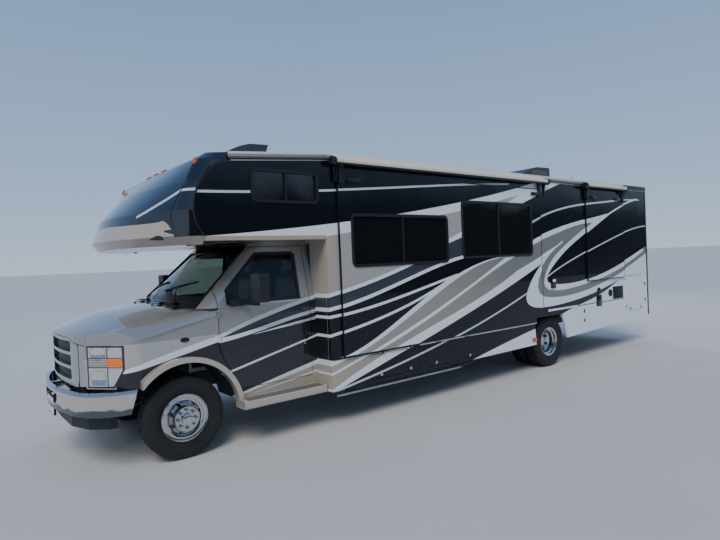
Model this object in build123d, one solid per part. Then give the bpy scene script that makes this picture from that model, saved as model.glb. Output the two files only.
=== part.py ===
from build123d import *
from math import cos, radians, sin
import os

# Sizes in millimetres. X runs forward, Y to the left, Z up from the ground.
# Every piece is drawn with X = 0 at the front axle and moved by SHIFT_X when it is written.

# Running gear
WHEELBASE = 5702
REAR_AXLE_X = -WHEELBASE
TYRE_RADIUS = 385
TYRE_HALF_WIDTH = 112
RIM_SEAT_RADIUS = 203
RIM_LIP_RADIUS = 221
RIM_HALF_WIDTH = 86
TYRE_SEAT_GAP = 0.3
FRONT_TYRE_Y = 880
REAR_OUTER_TYRE_Y = 1085
TWIN_SPACING = 280
KINGPIN_Y = 775
KINGPIN_RADIUS = 14
PIN_CLEARANCE = 0.3
SPINDLE_RADIUS = 30
REAR_SPINDLE_RADIUS = 45
HUB_WALL = 22
LUG_CIRCLE_RADIUS = 82.55
LUG_COUNT = 8
LUG_RADIUS = 7
HAND_HOLE_RADIUS = 20
HAND_HOLE_CIRCLE = 141
DISC_THICK = 10
HUB_REACH = 168
REAR_SPINDLE_REACH = -30

# Chassis
RAIL_OUTER_Y = 450
RAIL_WIDTH = 70
RAIL_WALL = 12
RAIL_BOTTOM = 530
RAIL_TOP = 700
RAIL_FRONT_X = 700
AXLE_TUBE_RADIUS = 52
SPRING_Y = 505
SPRING_WIDTH = 75
SPRING_HALF_LENGTH = 680

# Cab
CAB_HALF_WIDTH = 1000
CAB_REAR_X = -1485.7
CAB_WALL = 55
SKIN = 28
BELT_Z = 1380
CAB_ROOF_Z = 2020
CAB_BOTTOM = 470
CAB_FLOOR_Z = 745
COWL_X = -360
NOSE_X = 870
FRONT_LIP_Z = 735
ARCH_RADIUS = 510
ARCH_Z = 400
DOOR_GAP = 7
HOOD_HALF_WIDTH = 770
HOOD_REAR_X = -50
HOOD_FRONT_X = 930
GLASS = 6
LINER_THICK = 10
SEAT_GAP = 0.3
GRILLE_SPACE_Y = 620
GRILLE_TOP = 1190
GRILLE_TOP_GAP = 6
GRILLE_SHOULDER_Y = 400
GRILLE_SHOULDER_DROP = 82
LAMP_INNER_Y = 636
LAMP_OUTER_Y = 932
LAMP_BOTTOM = 745
LAMP_TOP = 1118
LAMP_CUT_Z = 909
LAMP_CUT_WIDTH = 86
HOOD_HINGE_X = -22
HOOD_HINGE_Z = 1436
DOOR_HINGE_X = -358
DOOR_HINGE_Y = 1012
DOOR_HINGE_HEIGHTS = (1090, 1320)
DOOR_HINGE_SINK = 8

# Coach body
HALF_WIDTH = 1262
WALL = 50
FRONT_WALL_X = -1486
REAR_OVERHANG = 3278
REAR_X = REAR_AXLE_X - REAR_OVERHANG
FLOOR_THICK = 90
TRAY_BOTTOM = 560
FLOOR_TOP = RAIL_TOP + FLOOR_THICK
WALL_BOTTOM = 735
SKIRT_THICK = 30
SKIRT_BOTTOM = 390
REAR_SKIRT_BOTTOM = 500
ROOF_EDGE_Z = 2930
ROOF_THICK = 80
ROOF_CROWN = 95
ROOF_BREAK_X = -1520
ROOF_FRONT_X = -440
ROOF_DROP = 85
CROWN_LOSS = 10
OVERHANG_Z = 2062
OVERHANG_DECK = 41
STRIP_THICK = 36
PASSAGE_HALF = 930
CAP_SHELL = 45
WELL_AHEAD = 467
WELL_BEHIND = 418
WELL_FRONT_X = REAR_AXLE_X + WELL_AHEAD
WELL_REAR_X = REAR_AXLE_X - WELL_BEHIND
WELL_TOP_Z = 860
WELL_INNER_Y = 640
ARCH_TOP_Z = 800

# Slide-out rooms on the left wall
SLIDE_TRAVEL = 600
SLIDE_INNER_Y = 520
SLIDE_WALL = 40
FASCIA_THICK = 22
SEAL_GAP = 5
ROOM_CLEARANCE = 10
FASCIA_LAP = 60
RUNNER_GAP = 0.3
TOPPER_RADIUS = 40

# Hinges and luggage doors
HINGE_RADIUS = 9
HINGE_PIN = 4
HINGE_LEAF = 3
EDGE_GAP = 5
HATCH_THICK = 25
TUB_WALL = 12
TUB_DEPTH = 430

# Entry door on the right wall
ENTRY_WIDTH = 670
ENTRY_TO_WELL = 235
ENTRY_REAR_X = WELL_FRONT_X + ENTRY_TO_WELL
ENTRY_FRONT_X = ENTRY_REAR_X + ENTRY_WIDTH
ENTRY_BOTTOM = 600
ENTRY_TOP = ROOF_EDGE_Z - 450
STEP_TRAVEL = 260
STEP_Z = 440
STEP_ARM_HIGH = 50

# Windows
FRAME_PROUD = 10
FRAME_WIDTH = 32
FRAME_CORNER = 60

# Mirrors
MIRROR_OUTER_Y = 1440

# The frontmost and rearmost faces set the origin under the middle of the vehicle
BUMPER_FRONT_X = 960
BUMPER_BOTTOM = 520
REAR_BUMPER_DEPTH = 90
REAR_BUMPER_X = REAR_X - REAR_BUMPER_DEPTH
SHIFT_X = -(BUMPER_FRONT_X + REAR_BUMPER_X) / 2


def block(x0, x1, y0, y1, z0, z1):
    """A box between two corners."""
    size = (abs(x1 - x0), abs(y1 - y0), abs(z1 - z0))
    return Pos((x0 + x1) / 2, (y0 + y1) / 2, (z0 + z1) / 2) * Box(*size)


def side_plate(points, y0, y1):
    """An outline in X and Z, given its thickness along Y."""
    outline = Polyline(*[(x, y0, z) for x, z in points], close=True)
    return extrude(make_face(outline), amount=y1 - y0, dir=(0, 1, 0))


def plan_plate(points, z0, z1):
    """An outline in X and Y, given its height along Z."""
    outline = Polyline(*[(x, y, z0) for x, y in points], close=True)
    return extrude(make_face(outline), amount=z1 - z0, dir=(0, 0, 1))


def front_plate(points, x0, x1):
    """An outline in Y and Z, given its thickness along X."""
    outline = Polyline(*[(x0, y, z) for y, z in points], close=True)
    return extrude(make_face(outline), amount=x1 - x0, dir=(1, 0, 0))


def rod_y(x, y0, y1, z, radius):
    """A round bar along Y."""
    return Pos(x, (y0 + y1) / 2, z) * Rot(90, 0, 0) * Cylinder(radius, abs(y1 - y0))


def rod_x(x0, x1, y, z, radius):
    """A round bar along X."""
    return Pos((x0 + x1) / 2, y, z) * Rot(0, 90, 0) * Cylinder(radius, abs(x1 - x0))


def rod_z(x, y, z0, z1, radius):
    """A round bar along Z."""
    return Pos(x, y, (z0 + z1) / 2) * Cylinder(radius, abs(z1 - z0))


def rounded_block(x0, x1, y0, y1, z0, z1, radius, axis=Axis.Y):
    """A box whose edges along one axis are rounded."""
    body = block(x0, x1, y0, y1, z0, z1)
    return fillet(body.edges().filter_by(axis), radius)


def flipped(shape):
    """The same piece on the other side of the vehicle."""
    return mirror(shape, about=Plane.XZ)


def both(shape):
    """A piece and its mirror image as one node."""
    return group([shape, flipped(shape)])


def group(shapes):
    """Solids that share a node."""
    return Compound([solid for shape in shapes for solid in shape.solids()])


def in_lengths(shape, places):
    """A long piece built up in lengths that meet face to face at some places along X."""
    ends = [-20000, *sorted(places), 20000]
    return group([shape & block(a, b, -2000, 2000, 0, 4000) for a, b in zip(ends, ends[1:])])


# Wheels are drawn round the Y axis, with the vehicle's outer side at +Y

def tyre():
    """A tyre with a rounded shoulder and a bulged sidewall."""
    seat = RIM_SEAT_RADIUS + TYRE_SEAT_GAP
    half = [(seat, 74), (240, 84)]
    side = ThreePointArc((240, 84), (300, TYRE_HALF_WIDTH), (355, 98))
    shoulder = ThreePointArc((355, 98), (377, 90), (TYRE_RADIUS, 68))
    lines = [
        Polyline((seat, 0), *half), side, shoulder,
        Line((TYRE_RADIUS, 68), (TYRE_RADIUS, 0)), Line((TYRE_RADIUS, 0), (seat, 0)),
    ]
    face = make_face(Wire.combine([edge for line in lines for edge in line.edges()])[0])
    outer = revolve(face, axis=Axis.Y)
    return outer + mirror(outer, about=Plane.XZ)


def rim(bore):
    """A drop-centre rim whose disc bulges to a hub face half the twin spacing from its middle."""
    seat = RIM_SEAT_RADIUS
    lip = RIM_LIP_RADIUS
    edge = RIM_HALF_WIDTH
    face = TWIN_SPACING / 2
    profile = [
        (lip, -edge), (lip, 4 - edge), (seat, 12 - edge), (seat, -40), (seat - 22, -30), (seat - 22, 30),
        (seat, 40), (seat, edge - 12), (lip, edge - 4), (lip, edge), (lip - 8, edge), (seat - 8, edge - 10),
        (seat - 8, 45), (seat - 30, 35), (seat - 30, -35), (seat - 8, -45), (seat - 8, 10 - edge), (lip - 8, -edge),
    ]
    barrel = revolve(make_face(Polyline(*profile, close=True)), axis=Axis.Y)
    weld = seat - 24
    disc_profile = [
        (bore, face - DISC_THICK), (108, face - DISC_THICK), (148, 58), (weld, 14), (weld, 32), (155, 68), (114, face),
        (bore, face),
    ]
    disc = revolve(make_face(Polyline(*disc_profile, close=True)), axis=Axis.Y)
    for index in range(LUG_COUNT):
        angle = radians(360 / LUG_COUNT * (index + 0.5))
        x, z = HAND_HOLE_CIRCLE * cos(angle), HAND_HOLE_CIRCLE * sin(angle)
        disc -= rod_y(x, 0, face, z, HAND_HOLE_RADIUS)
    return barrel + disc


def lug_nuts(y0, y1):
    """The ring of wheel nuts."""
    nuts = []
    for index in range(LUG_COUNT):
        angle = radians(360 / LUG_COUNT * index)
        x, z = LUG_CIRCLE_RADIUS * cos(angle), LUG_CIRCLE_RADIUS * sin(angle)
        nuts.append(rod_y(x, y0, y1, z, 2 * LUG_RADIUS))
    return nuts


def front_wheel():
    """Tyre and rim of the front left wheel in place."""
    centre = Pos(0, FRONT_TYRE_Y, TYRE_RADIUS)
    bore = SPINDLE_RADIUS + PIN_CLEARANCE
    face = TWIN_SPACING / 2
    wheel = rim(bore) + lug_nuts(face - 1, face + 26)
    hub = rod_y(0, face - 50, HUB_REACH, 0, bore + HUB_WALL) - rod_y(0, face - 60, HUB_REACH - 12, 0, bore)
    return centre * tyre(), centre * (wheel + hub)


def rear_wheels():
    """Twin tyres and twin rims of the rear left wheel in place."""
    outer = Pos(-WHEELBASE, REAR_OUTER_TYRE_Y, TYRE_RADIUS)
    inner = Pos(-WHEELBASE, REAR_OUTER_TYRE_Y - TWIN_SPACING, TYRE_RADIUS)
    bore = REAR_SPINDLE_RADIUS + PIN_CLEARANCE
    face = TWIN_SPACING / 2
    wheel = inner * rim(bore) + outer * (mirror(rim(bore), about=Plane.XZ) + lug_nuts(1 - face, 26 - face))
    end = REAR_SPINDLE_REACH
    hub = rod_y(0, -face, end, 0, bore + HUB_WALL) - rod_y(0, -face - 5, end - 12, 0, bore)
    return group([outer * tyre(), inner * tyre()]), wheel + outer * hub


def knuckle():
    """The left steering knuckle: two ears on the kingpin, a back plate and the spindle."""
    axle_z = TYRE_RADIUS
    bore = KINGPIN_RADIUS + PIN_CLEARANCE
    body = rod_y(0, KINGPIN_Y + 45, KINGPIN_Y + 70, axle_z, 62)
    for sign in (-1, 1):
        low, high = sorted((axle_z + sign * 52, axle_z + sign * 88))
        ear = rod_z(0, KINGPIN_Y, low, high, 32) + block(-32, 32, KINGPIN_Y, KINGPIN_Y + 70, low, high)
        body += ear - rod_z(0, KINGPIN_Y, low - 1, high + 1, bore)
    body += block(-32, 32, KINGPIN_Y + 45, KINGPIN_Y + 70, axle_z - 88, axle_z + 88)
    spindle = rod_y(0, KINGPIN_Y + 70, FRONT_TYRE_Y + HUB_REACH - 18, axle_z, SPINDLE_RADIUS)
    arm = block(-140, -20, KINGPIN_Y + 45, KINGPIN_Y + 60, axle_z - 60, axle_z - 35)
    return body + spindle + arm


def front_axle():
    """Two I-beams that cross under the engine, with kingpins and coil springs."""
    axle_z = TYRE_RADIUS
    eye = rod_z(0, KINGPIN_Y, axle_z - 46, axle_z + 46, 32)
    pin = rod_z(0, KINGPIN_Y, axle_z - 92, axle_z + 92, KINGPIN_RADIUS)
    beam = side_plate([(-28, axle_z - 40), (28, axle_z - 40), (28, axle_z + 35), (-28, axle_z + 35)],
                      -KINGPIN_Y + 20, KINGPIN_Y - 20)
    web_cut = block(10, 40, 120 - KINGPIN_Y, KINGPIN_Y - 120, axle_z - 22, axle_z + 17)
    beam -= web_cut
    beam -= mirror(web_cut, about=Plane.YZ)
    axle = beam + eye + pin + flipped(eye + pin)
    seat_y = RAIL_OUTER_Y + 75
    for sign in (-1, 1):
        y = sign * seat_y
        axle += rod_z(0, y, axle_z + 35, axle_z + 50, 62)
        axle += rod_z(0, y, axle_z + 50, axle_z + 300, 48) - rod_z(0, y, axle_z + 50, axle_z + 300, 34)
        low, high = sorted((sign * (RAIL_OUTER_Y + PIN_CLEARANCE), y + sign * 60))
        axle += block(-62, 62, low, high, axle_z + 300, axle_z + 312)
    return axle


def rear_axle():
    """The axle housing with its spindles, the leaf springs and the driveshaft."""
    z = TYRE_RADIUS
    x = -WHEELBASE
    hub_end = REAR_OUTER_TYRE_Y + REAR_SPINDLE_REACH - 18
    housing = rod_y(x, -620, 620, z, AXLE_TUBE_RADIUS)
    housing += rod_y(x, -hub_end, hub_end, z, REAR_SPINDLE_RADIUS)
    housing += Pos(x, 0, z) * Sphere(150)
    housing += rod_x(x, x + 260, 0, z + 20, 70)
    shaft = rod_x(x + 260, -900, 0, z + 60, 45)
    shaft_end = rod_x(x + 230, x + 262, 0, z + 40, 60)
    springs = []
    spring_low = z + AXLE_TUBE_RADIUS
    for sign in (-1, 1):
        y0, y1 = sorted((sign * (SPRING_Y - SPRING_WIDTH / 2), sign * (SPRING_Y + SPRING_WIDTH / 2)))
        for leaf, share in enumerate((0.35, 0.65, 1.0)):
            reach = SPRING_HALF_LENGTH * share
            low = spring_low + 14 * leaf
            springs.append(block(x - reach, x + reach, y0, y1, low, low + 14))
        for end in (-1, 1):
            eye_x = x + end * SPRING_HALF_LENGTH
            springs.append(rod_y(eye_x, y0, y1, spring_low + 42, 24))
            bolt_y0, bolt_y1 = sorted((sign * (RAIL_OUTER_Y + PIN_CLEARANCE), y0 if sign > 0 else y1))
            springs.append(block(eye_x - 30, eye_x + 30, bolt_y0, bolt_y1, spring_low + 20, RAIL_BOTTOM + 100))
        springs.append(block(x - 60, x + 60, y0, y1, z, spring_low + 5))
    whole = housing + springs[0]
    for spring in springs[1:]:
        whole += spring
    return group([whole + shaft_end + shaft])


def chassis_frame():
    """Two channel rails and the crossmembers that seat between their webs."""
    inner_y = RAIL_OUTER_Y - RAIL_WIDTH
    rail = block(REAR_X + 60, RAIL_FRONT_X, inner_y, RAIL_OUTER_Y, RAIL_BOTTOM, RAIL_TOP)
    rail -= block(REAR_X, RAIL_FRONT_X + 50, inner_y - 10, RAIL_OUTER_Y - RAIL_WALL,
                  RAIL_BOTTOM + RAIL_WALL, RAIL_TOP - RAIL_WALL)
    frame = [rail, flipped(rail)]
    member_x = [RAIL_FRONT_X - 40, -1300, -2300, -3300, -4100]
    member_x += [REAR_AXLE_X + 702, REAR_AXLE_X - 798, REAR_AXLE_X - 1698, REAR_AXLE_X - 2498, REAR_X + 120]
    web_y = RAIL_OUTER_Y - RAIL_WALL
    for x in member_x:
        frame.append(block(x - 30, x + 30, -web_y, web_y, RAIL_BOTTOM + RAIL_WALL, RAIL_TOP - RAIL_WALL - 30))
    return group(frame)


def engine():
    """The engine as one plain block between the rails."""
    mount_y = RAIL_OUTER_Y - RAIL_WALL - SEAT_GAP
    mount_low = RAIL_BOTTOM + RAIL_WALL + SEAT_GAP
    return block(-190, 540, -300, 300, 600, 1120) + block(120, 200, -mount_y, mount_y, mount_low, 640)


def underbody_tanks():
    """Fuel tank and two holding tanks behind the rear axle."""
    rows = [
        # rear end and front end behind the rear axle, half width, bottom
        (1298, 598, 360, 430),
        (2198, 1398, 360, 450),
        (2898, 2248, 360, 450),
    ]
    tanks = []
    for rear, front, half, bottom in rows:
        body = block(REAR_AXLE_X - rear, REAR_AXLE_X - front, -half, half, bottom, RAIL_BOTTOM + RAIL_WALL - SEAT_GAP)
        tanks.append(fillet(body.edges().filter_by(Axis.Z), 60))
    return group(tanks)


def exhaust():
    """Muffler and pipe along the right rail."""
    y = -RAIL_OUTER_Y - 90
    pipe_z = 358
    muffler = rod_x(-2900, -2100, y, pipe_z + 40, 75)
    pipe = rod_x(-4150, -600, y, pipe_z, 28)
    tail = rod_y(-4150, -HALF_WIDTH, y + 28, pipe_z, 28)
    hanger = block(-2510, -2490, y - 30, -RAIL_OUTER_Y - PIN_CLEARANCE, pipe_z + 100, RAIL_TOP - 20)
    return muffler + pipe + tail + hanger + block(-4160, -4140, y - 30, -RAIL_OUTER_Y - PIN_CLEARANCE,
                                                  pipe_z, RAIL_TOP - 20)


# The cab is one closed outer form with a smaller one taken out of it

def nose_section(x, inset, row):
    """A section across the hood: flat sides, round shoulders and a crowned top."""
    side, side_z, shoulder_y, shoulder_z, crown_z = row
    w = side - inset
    low = CAB_BOTTOM - 1 if inset == 0 else CAB_BOTTOM - 100
    sh_y = shoulder_y - inset * 0.6
    sh_z = shoulder_z - inset * 0.9
    top = crown_z - inset
    mid_y = w - (w - sh_y) * 0.28
    mid_z = side_z + (sh_z - side_z) * 0.66
    edges = []
    edges += Line((x, -w, low), (x, w, low)).edges()
    edges += Line((x, w, low), (x, w, side_z)).edges()
    edges += ThreePointArc((x, w, side_z), (x, mid_y, mid_z), (x, sh_y, sh_z)).edges()
    edges += ThreePointArc((x, sh_y, sh_z), (x, 0, top), (x, -sh_y, sh_z)).edges()
    edges += ThreePointArc((x, -sh_y, sh_z), (x, -mid_y, mid_z), (x, -w, side_z)).edges()
    edges += Line((x, -w, side_z), (x, -w, low)).edges()
    return make_face(Wire.combine(edges)[0])


NOSE_ROWS = [
    # x, half width, top of side, shoulder y, shoulder z, crown z
    (COWL_X, 1000, 1290, 935, 1385, 1432),
    (60, 1000, 1210, 880, 1345, 1425),
    (450, 1000, 1130, 830, 1280, 1372),
    (NOSE_X + 30, 975, 1060, 745, 1150, 1222),
]


def nose_plan(inset, z0, z1):
    """The nose seen from above: a bowed front, swept lamps and straight sides."""
    half = CAB_HALF_WIDTH + 5 - inset
    front = NOSE_X - inset
    pts = [(front - 48, 520 - inset * 0.6), (front - 75, 565 - inset * 0.8), (505 - inset, 930 - inset * 0.6)]
    edges = []
    edges += ThreePointArc((pts[0][0], -pts[0][1], z0), (front, 0, z0), (pts[0][0], pts[0][1], z0)).edges()
    for sign in (-1, 1):
        edges += Line((pts[0][0], sign * pts[0][1], z0), (pts[1][0], sign * pts[1][1], z0)).edges()
        edges += Line((pts[1][0], sign * pts[1][1], z0), (pts[2][0], sign * pts[2][1], z0)).edges()
        edges += ThreePointArc((pts[2][0], sign * pts[2][1], z0), (430 - inset, sign * (half - 22), z0),
                               (330 - inset, sign * half, z0)).edges()
        edges += Line((330 - inset, sign * half, z0), (COWL_X - 40, sign * half, z0)).edges()
    edges += Line((COWL_X - 40, half, z0), (COWL_X - 40, -half, z0)).edges()
    return extrude(make_face(Wire.combine(edges)[0]), amount=z1 - z0, dir=(0, 0, 1))


def nose(inset):
    """The hood and fenders as a closed form, drawn in by inset."""
    sections = [nose_section(row[0], inset, row[1:]) for row in NOSE_ROWS]
    body = loft(sections, ruled=True)
    return body & nose_plan(inset, CAB_BOTTOM - 200, 1600)


def cabin_section(z, row, inset):
    """A level section through the cabin: bowed windshield, round corners, straight sides."""
    front_x, corner_x, corner_y, side_x, half = row
    rear = CAB_REAR_X if inset == 0 else CAB_REAR_X - 50
    half = half - inset
    corner_y = corner_y - inset * 0.7
    front_x, corner_x, side_x = front_x - inset, corner_x - inset * 1.1, side_x - inset * 0.7
    edges = []
    edges += ThreePointArc((corner_x, -corner_y, z), (front_x, 0, z), (corner_x, corner_y, z)).edges()
    for sign in (-1, 1):
        mid = ((corner_x + side_x) / 2 + 22, sign * (corner_y + (half - corner_y) * 0.62), z)
        edges += ThreePointArc((corner_x, sign * corner_y, z), mid, (side_x, sign * half, z)).edges()
        edges += Line((side_x, sign * half, z), (rear, sign * half, z)).edges()
    edges += Line((rear, half, z), (rear, -half, z)).edges()
    return make_face(Wire.combine(edges)[0])


CABIN_LOW = (10, -170, 875, -330, 998)
CABIN_HIGH = (-770, -850, 745, -960, 850)


def cabin(inset, top=CAB_ROOF_Z):
    """The cabin above the belt with the doors' lower part below it."""
    low = cabin_section(BELT_Z, CABIN_LOW, inset)
    high = cabin_section(CAB_ROOF_Z, CABIN_HIGH, inset)
    upper = loft([low, high], ruled=True)
    if top < CAB_ROOF_Z:
        upper &= block(-2000, 500, -1200, 1200, BELT_Z - 10, top)
    half = CABIN_LOW[4] - inset
    rear = CAB_REAR_X if inset == 0 else CAB_REAR_X - 50
    bottom = CAB_BOTTOM if inset == 0 else CAB_BOTTOM - 100
    low_sections = []
    for z, tuck in ((bottom, 18), (950, -5), (BELT_Z, 0)):
        w = half - tuck
        outline = Polyline((rear, -w, z), (COWL_X, -w, z), (COWL_X, w, z), (rear, w, z), close=True)
        low_sections.append(make_face(outline))
    return upper + loft(low_sections, ruled=True)


def door_outline(grow):
    """The front door's edge in X and Z, drawn larger by grow."""
    g = grow
    return [
        (-580 + g, 560 - g), (-545 + g, 640), (-470 + g, 760), (-400 + g, 880), (-362 + g, 1000),
        (-362 + g, 1545), (-530 + g, 1735),
        (-748 + g, 1968 + g), (-1412 - g, 1968 + g), (-1412 - g, 560 - g),
    ]


def side_zone():
    """The space that holds a cab side but not the windshield's pillar."""
    points = [(880, 300), (1200, 300), (1200, 2200), (730, 2200), (880, BELT_Z)]
    outline = Polyline(*[(-1600, y, z) for y, z in points], close=True)
    return extrude(make_face(outline), amount=1600, dir=(1, 0, 0))


DOOR_WINDOW = [(-452, 1400), (-452, 1545), (-835, 1915), (-1285, 1915), (-1318, 1880), (-1308, 1400)]


def windshield_tool(grow):
    """A wedge through the windshield's opening, drawn larger by grow."""
    low_z, high_z = 1452 - grow, 1955 + grow
    low_y, high_y = 835 + grow, 725 + grow
    outline = Polyline((600, -low_y, low_z), (600, low_y, low_z), (600, high_y, high_z), (600, -high_y, high_z),
                       close=True)
    tool = extrude(make_face(outline), amount=1500, dir=(-1, 0, 0))
    behind = side_plate([(-330, 1390), (-1130, 2100), (-1600, 2100), (-1600, 1390)], -1200, 1200)
    return tool - behind


def hood_outline(grow):
    """The hood seen from above, drawn larger by grow."""
    w = HOOD_HALF_WIDTH + grow
    rear = HOOD_REAR_X - grow
    # the rear stretch runs straight, because it swings forward below the hinge as the hood opens
    half = [(HOOD_FRONT_X, 590 + grow), (680, 640 + grow), (500, w - 30), (220, w + 15), (rear, w + 15),
            (rear + 60, 520), (rear + 100, 0)]
    return half + [(x, -y) for x, y in reversed(half[:-1])]


def wheel_tunnel(radius, y0, y1):
    """The round space above a front wheel."""
    drum = rod_y(0, y0, y1, ARCH_Z, radius)
    return drum + block(-radius, radius, y0, y1, 0, ARCH_Z)


def cab_parts():
    """Shell, hood, doors and glass cut from the same form."""
    outer = nose(0) + cabin(0)
    inner = nose(SKIN) + cabin(CAB_WALL, CAB_ROOF_Z - CAB_WALL)
    shell = outer - inner
    tunnel = wheel_tunnel(ARCH_RADIUS, 560, 1300)
    bumper_space = block(395, 1100, -1300, 1300, 0, FRONT_LIP_Z)
    shell = shell - tunnel - flipped(tunnel) - bumper_space
    shell -= block(-2000, 1200, -1300, 1300, 0, CAB_BOTTOM)
    face_gap = block(480, 1100, -GRILLE_SPACE_Y, GRILLE_SPACE_Y, FRONT_LIP_Z, GRILLE_TOP + GRILLE_TOP_GAP)
    shell -= face_gap - grille_shoulders(GRILLE_TOP_GAP)
    lamp = lamp_space(4)
    shell = shell - lamp - flipped(lamp)
    hood_tool = plan_plate(hood_outline(0), 1000, 1700)
    hood_hole = plan_plate(hood_outline(EDGE_GAP), 1000, 1700)
    keep_low = block(-500, 1100, -1200, 1200, 1000, 1160)
    hood_piece = (shell & hood_tool) - keep_low
    shell = shell - (hood_hole - keep_low)
    door_tool = side_plate(door_outline(0), 700, 1100) & side_zone()
    door_hole = side_plate(door_outline(DOOR_GAP), 700, 1100) & side_zone()
    window = side_plate(DOOR_WINDOW, 600, 1200)
    door = (shell & door_tool) - window
    shell = shell - door_hole - flipped(door_hole)
    shell -= windshield_tool(0)
    glass_layer = cabin(22) - cabin(22 + GLASS)
    windshield = glass_layer & windshield_tool(-SEAT_GAP)
    door_glass = glass_layer & side_plate(DOOR_WINDOW, 700, 1100)
    floor_y = CAB_HALF_WIDTH - 82
    floor = block(CAB_REAR_X, -250, -floor_y, floor_y, CAB_FLOOR_Z - 40, CAB_FLOOR_Z)
    firewall = block(-260, -230, -CAB_HALF_WIDTH, CAB_HALF_WIDTH, CAB_FLOOR_Z - 40, 1330) & nose(SKIN - 2)
    rocker = block(CAB_REAR_X, -560, floor_y - 28, floor_y, CAB_BOTTOM, CAB_FLOOR_Z)
    rocker += block(CAB_REAR_X, -560, floor_y - 28, 950, CAB_BOTTOM, CAB_BOTTOM + 12)
    structure = floor + firewall + rocker + flipped(rocker)
    liner_space = wheel_tunnel(ARCH_RADIUS + LINER_THICK + SEAT_GAP, 500, 1300)
    shell = shell + (structure - liner_space - flipped(liner_space))
    for y in (-300, 300):
        fixed, moving = hood_hinge(y)
        shell += fixed
        hood_piece += moving
    for z in DOOR_HINGE_HEIGHTS:
        fixed, moving = strap_hinge(80, 22, 22, DOOR_HINGE_SINK)
        place = Pos(DOOR_HINGE_X, DOOR_HINGE_Y, z) * Rot(0, 90, 0)
        shell = shell + place * fixed + flipped(place * fixed)
        door += place * moving
    return shell, hood_piece, door, windshield, door_glass


def hood_hinge(y):
    """A hinge at the hood's rear edge: ears on the cowl, a barrel on the hood."""
    x, z = HOOD_HINGE_X, HOOD_HINGE_Z
    fixed = rod_y(x, y - 40, y + 40, z, HINGE_PIN)
    for y0 in (y - 40, y + 16):
        fixed += rod_y(x, y0, y0 + 24, z, HINGE_RADIUS) + block(x - 30, x, y0, y0 + 24, z - 30, z)
    moving = rod_y(x, y - 13, y + 13, z, HINGE_RADIUS) + block(x, x + 80, y - 13, y + 13, z - HINGE_RADIUS, z)
    moving += block(x + 54, x + 80, y - 13, y + 13, z - 34, z)
    moving -= rod_y(x, y - 20, y + 20, z, HINGE_PIN + PIN_CLEARANCE)
    return fixed, moving


def lamp_space(grow):
    """The pocket of the left headlamp, swept back round the corner, its lower outer corner cut off."""
    g = grow
    inner_y, outer_y = LAMP_INNER_Y - g, LAMP_OUTER_Y + g
    outline = [(800, inner_y), (520, outer_y), (450 - 2 * g, outer_y), (666 - 2 * g, inner_y)]
    space = plan_plate(outline, LAMP_BOTTOM - min(g, SEAT_GAP), LAMP_TOP + g)
    slope = LAMP_CUT_WIDTH / (LAMP_CUT_Z - LAMP_BOTTOM)
    low_z = LAMP_BOTTOM - 50
    corner = [(outer_y, LAMP_CUT_Z), (outer_y + 100, LAMP_CUT_Z), (outer_y + 100, low_z),
              (outer_y - slope * (LAMP_CUT_Z - low_z), low_z)]
    return space - front_plate(corner, 300, 900)


def headlamp():
    """One tall lamp sunk into the nose."""
    return lamp_space(0) & nose(0)


def grille_shoulders(raised):
    """What slopes away from the grille's top towards the headlamps."""
    top = GRILLE_TOP + raised
    outer_y = GRILLE_SPACE_Y + 20
    wedge = front_plate([(GRILLE_SHOULDER_Y, top), (GRILLE_SHOULDER_Y, top + 20), (outer_y, top + 20),
                         (outer_y, top - GRILLE_SHOULDER_DROP)], 400, 1200)
    return wedge + flipped(wedge)


def grille():
    """Chrome surround with three slots, twin end pillars and sloping shoulders on a bowed front."""
    half = GRILLE_SPACE_Y - SEAT_GAP
    depth = 60
    low_z = FRONT_LIP_Z + 20
    layer = nose_plan(0, low_z, GRILLE_TOP) - nose_plan(depth, low_z, GRILLE_TOP)
    layer &= block(600, 1000, -half, half, low_z, GRILLE_TOP)
    slots = []
    low = FRONT_LIP_Z + 75
    pitch = 126
    for row in range(3):
        z0 = low + row * pitch
        slots.append(rounded_block(600, 1000, -445, 445, z0, z0 + 98, 18, Axis.X))
    for sign in (-1, 1):
        y0, y1 = sorted((sign * 556, sign * 569))
        slots.append(block(775, 1000, y0, y1, low - 20, 1118))
    frame = layer - grille_shoulders(0)
    for slot in slots:
        frame -= slot
    back = nose_plan(depth - 20, low - 10, 1170) - nose_plan(depth - 8, low - 10, 1170)
    back &= block(600, 1000, -455, 455, low - 10, 1170)
    return frame + back


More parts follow.
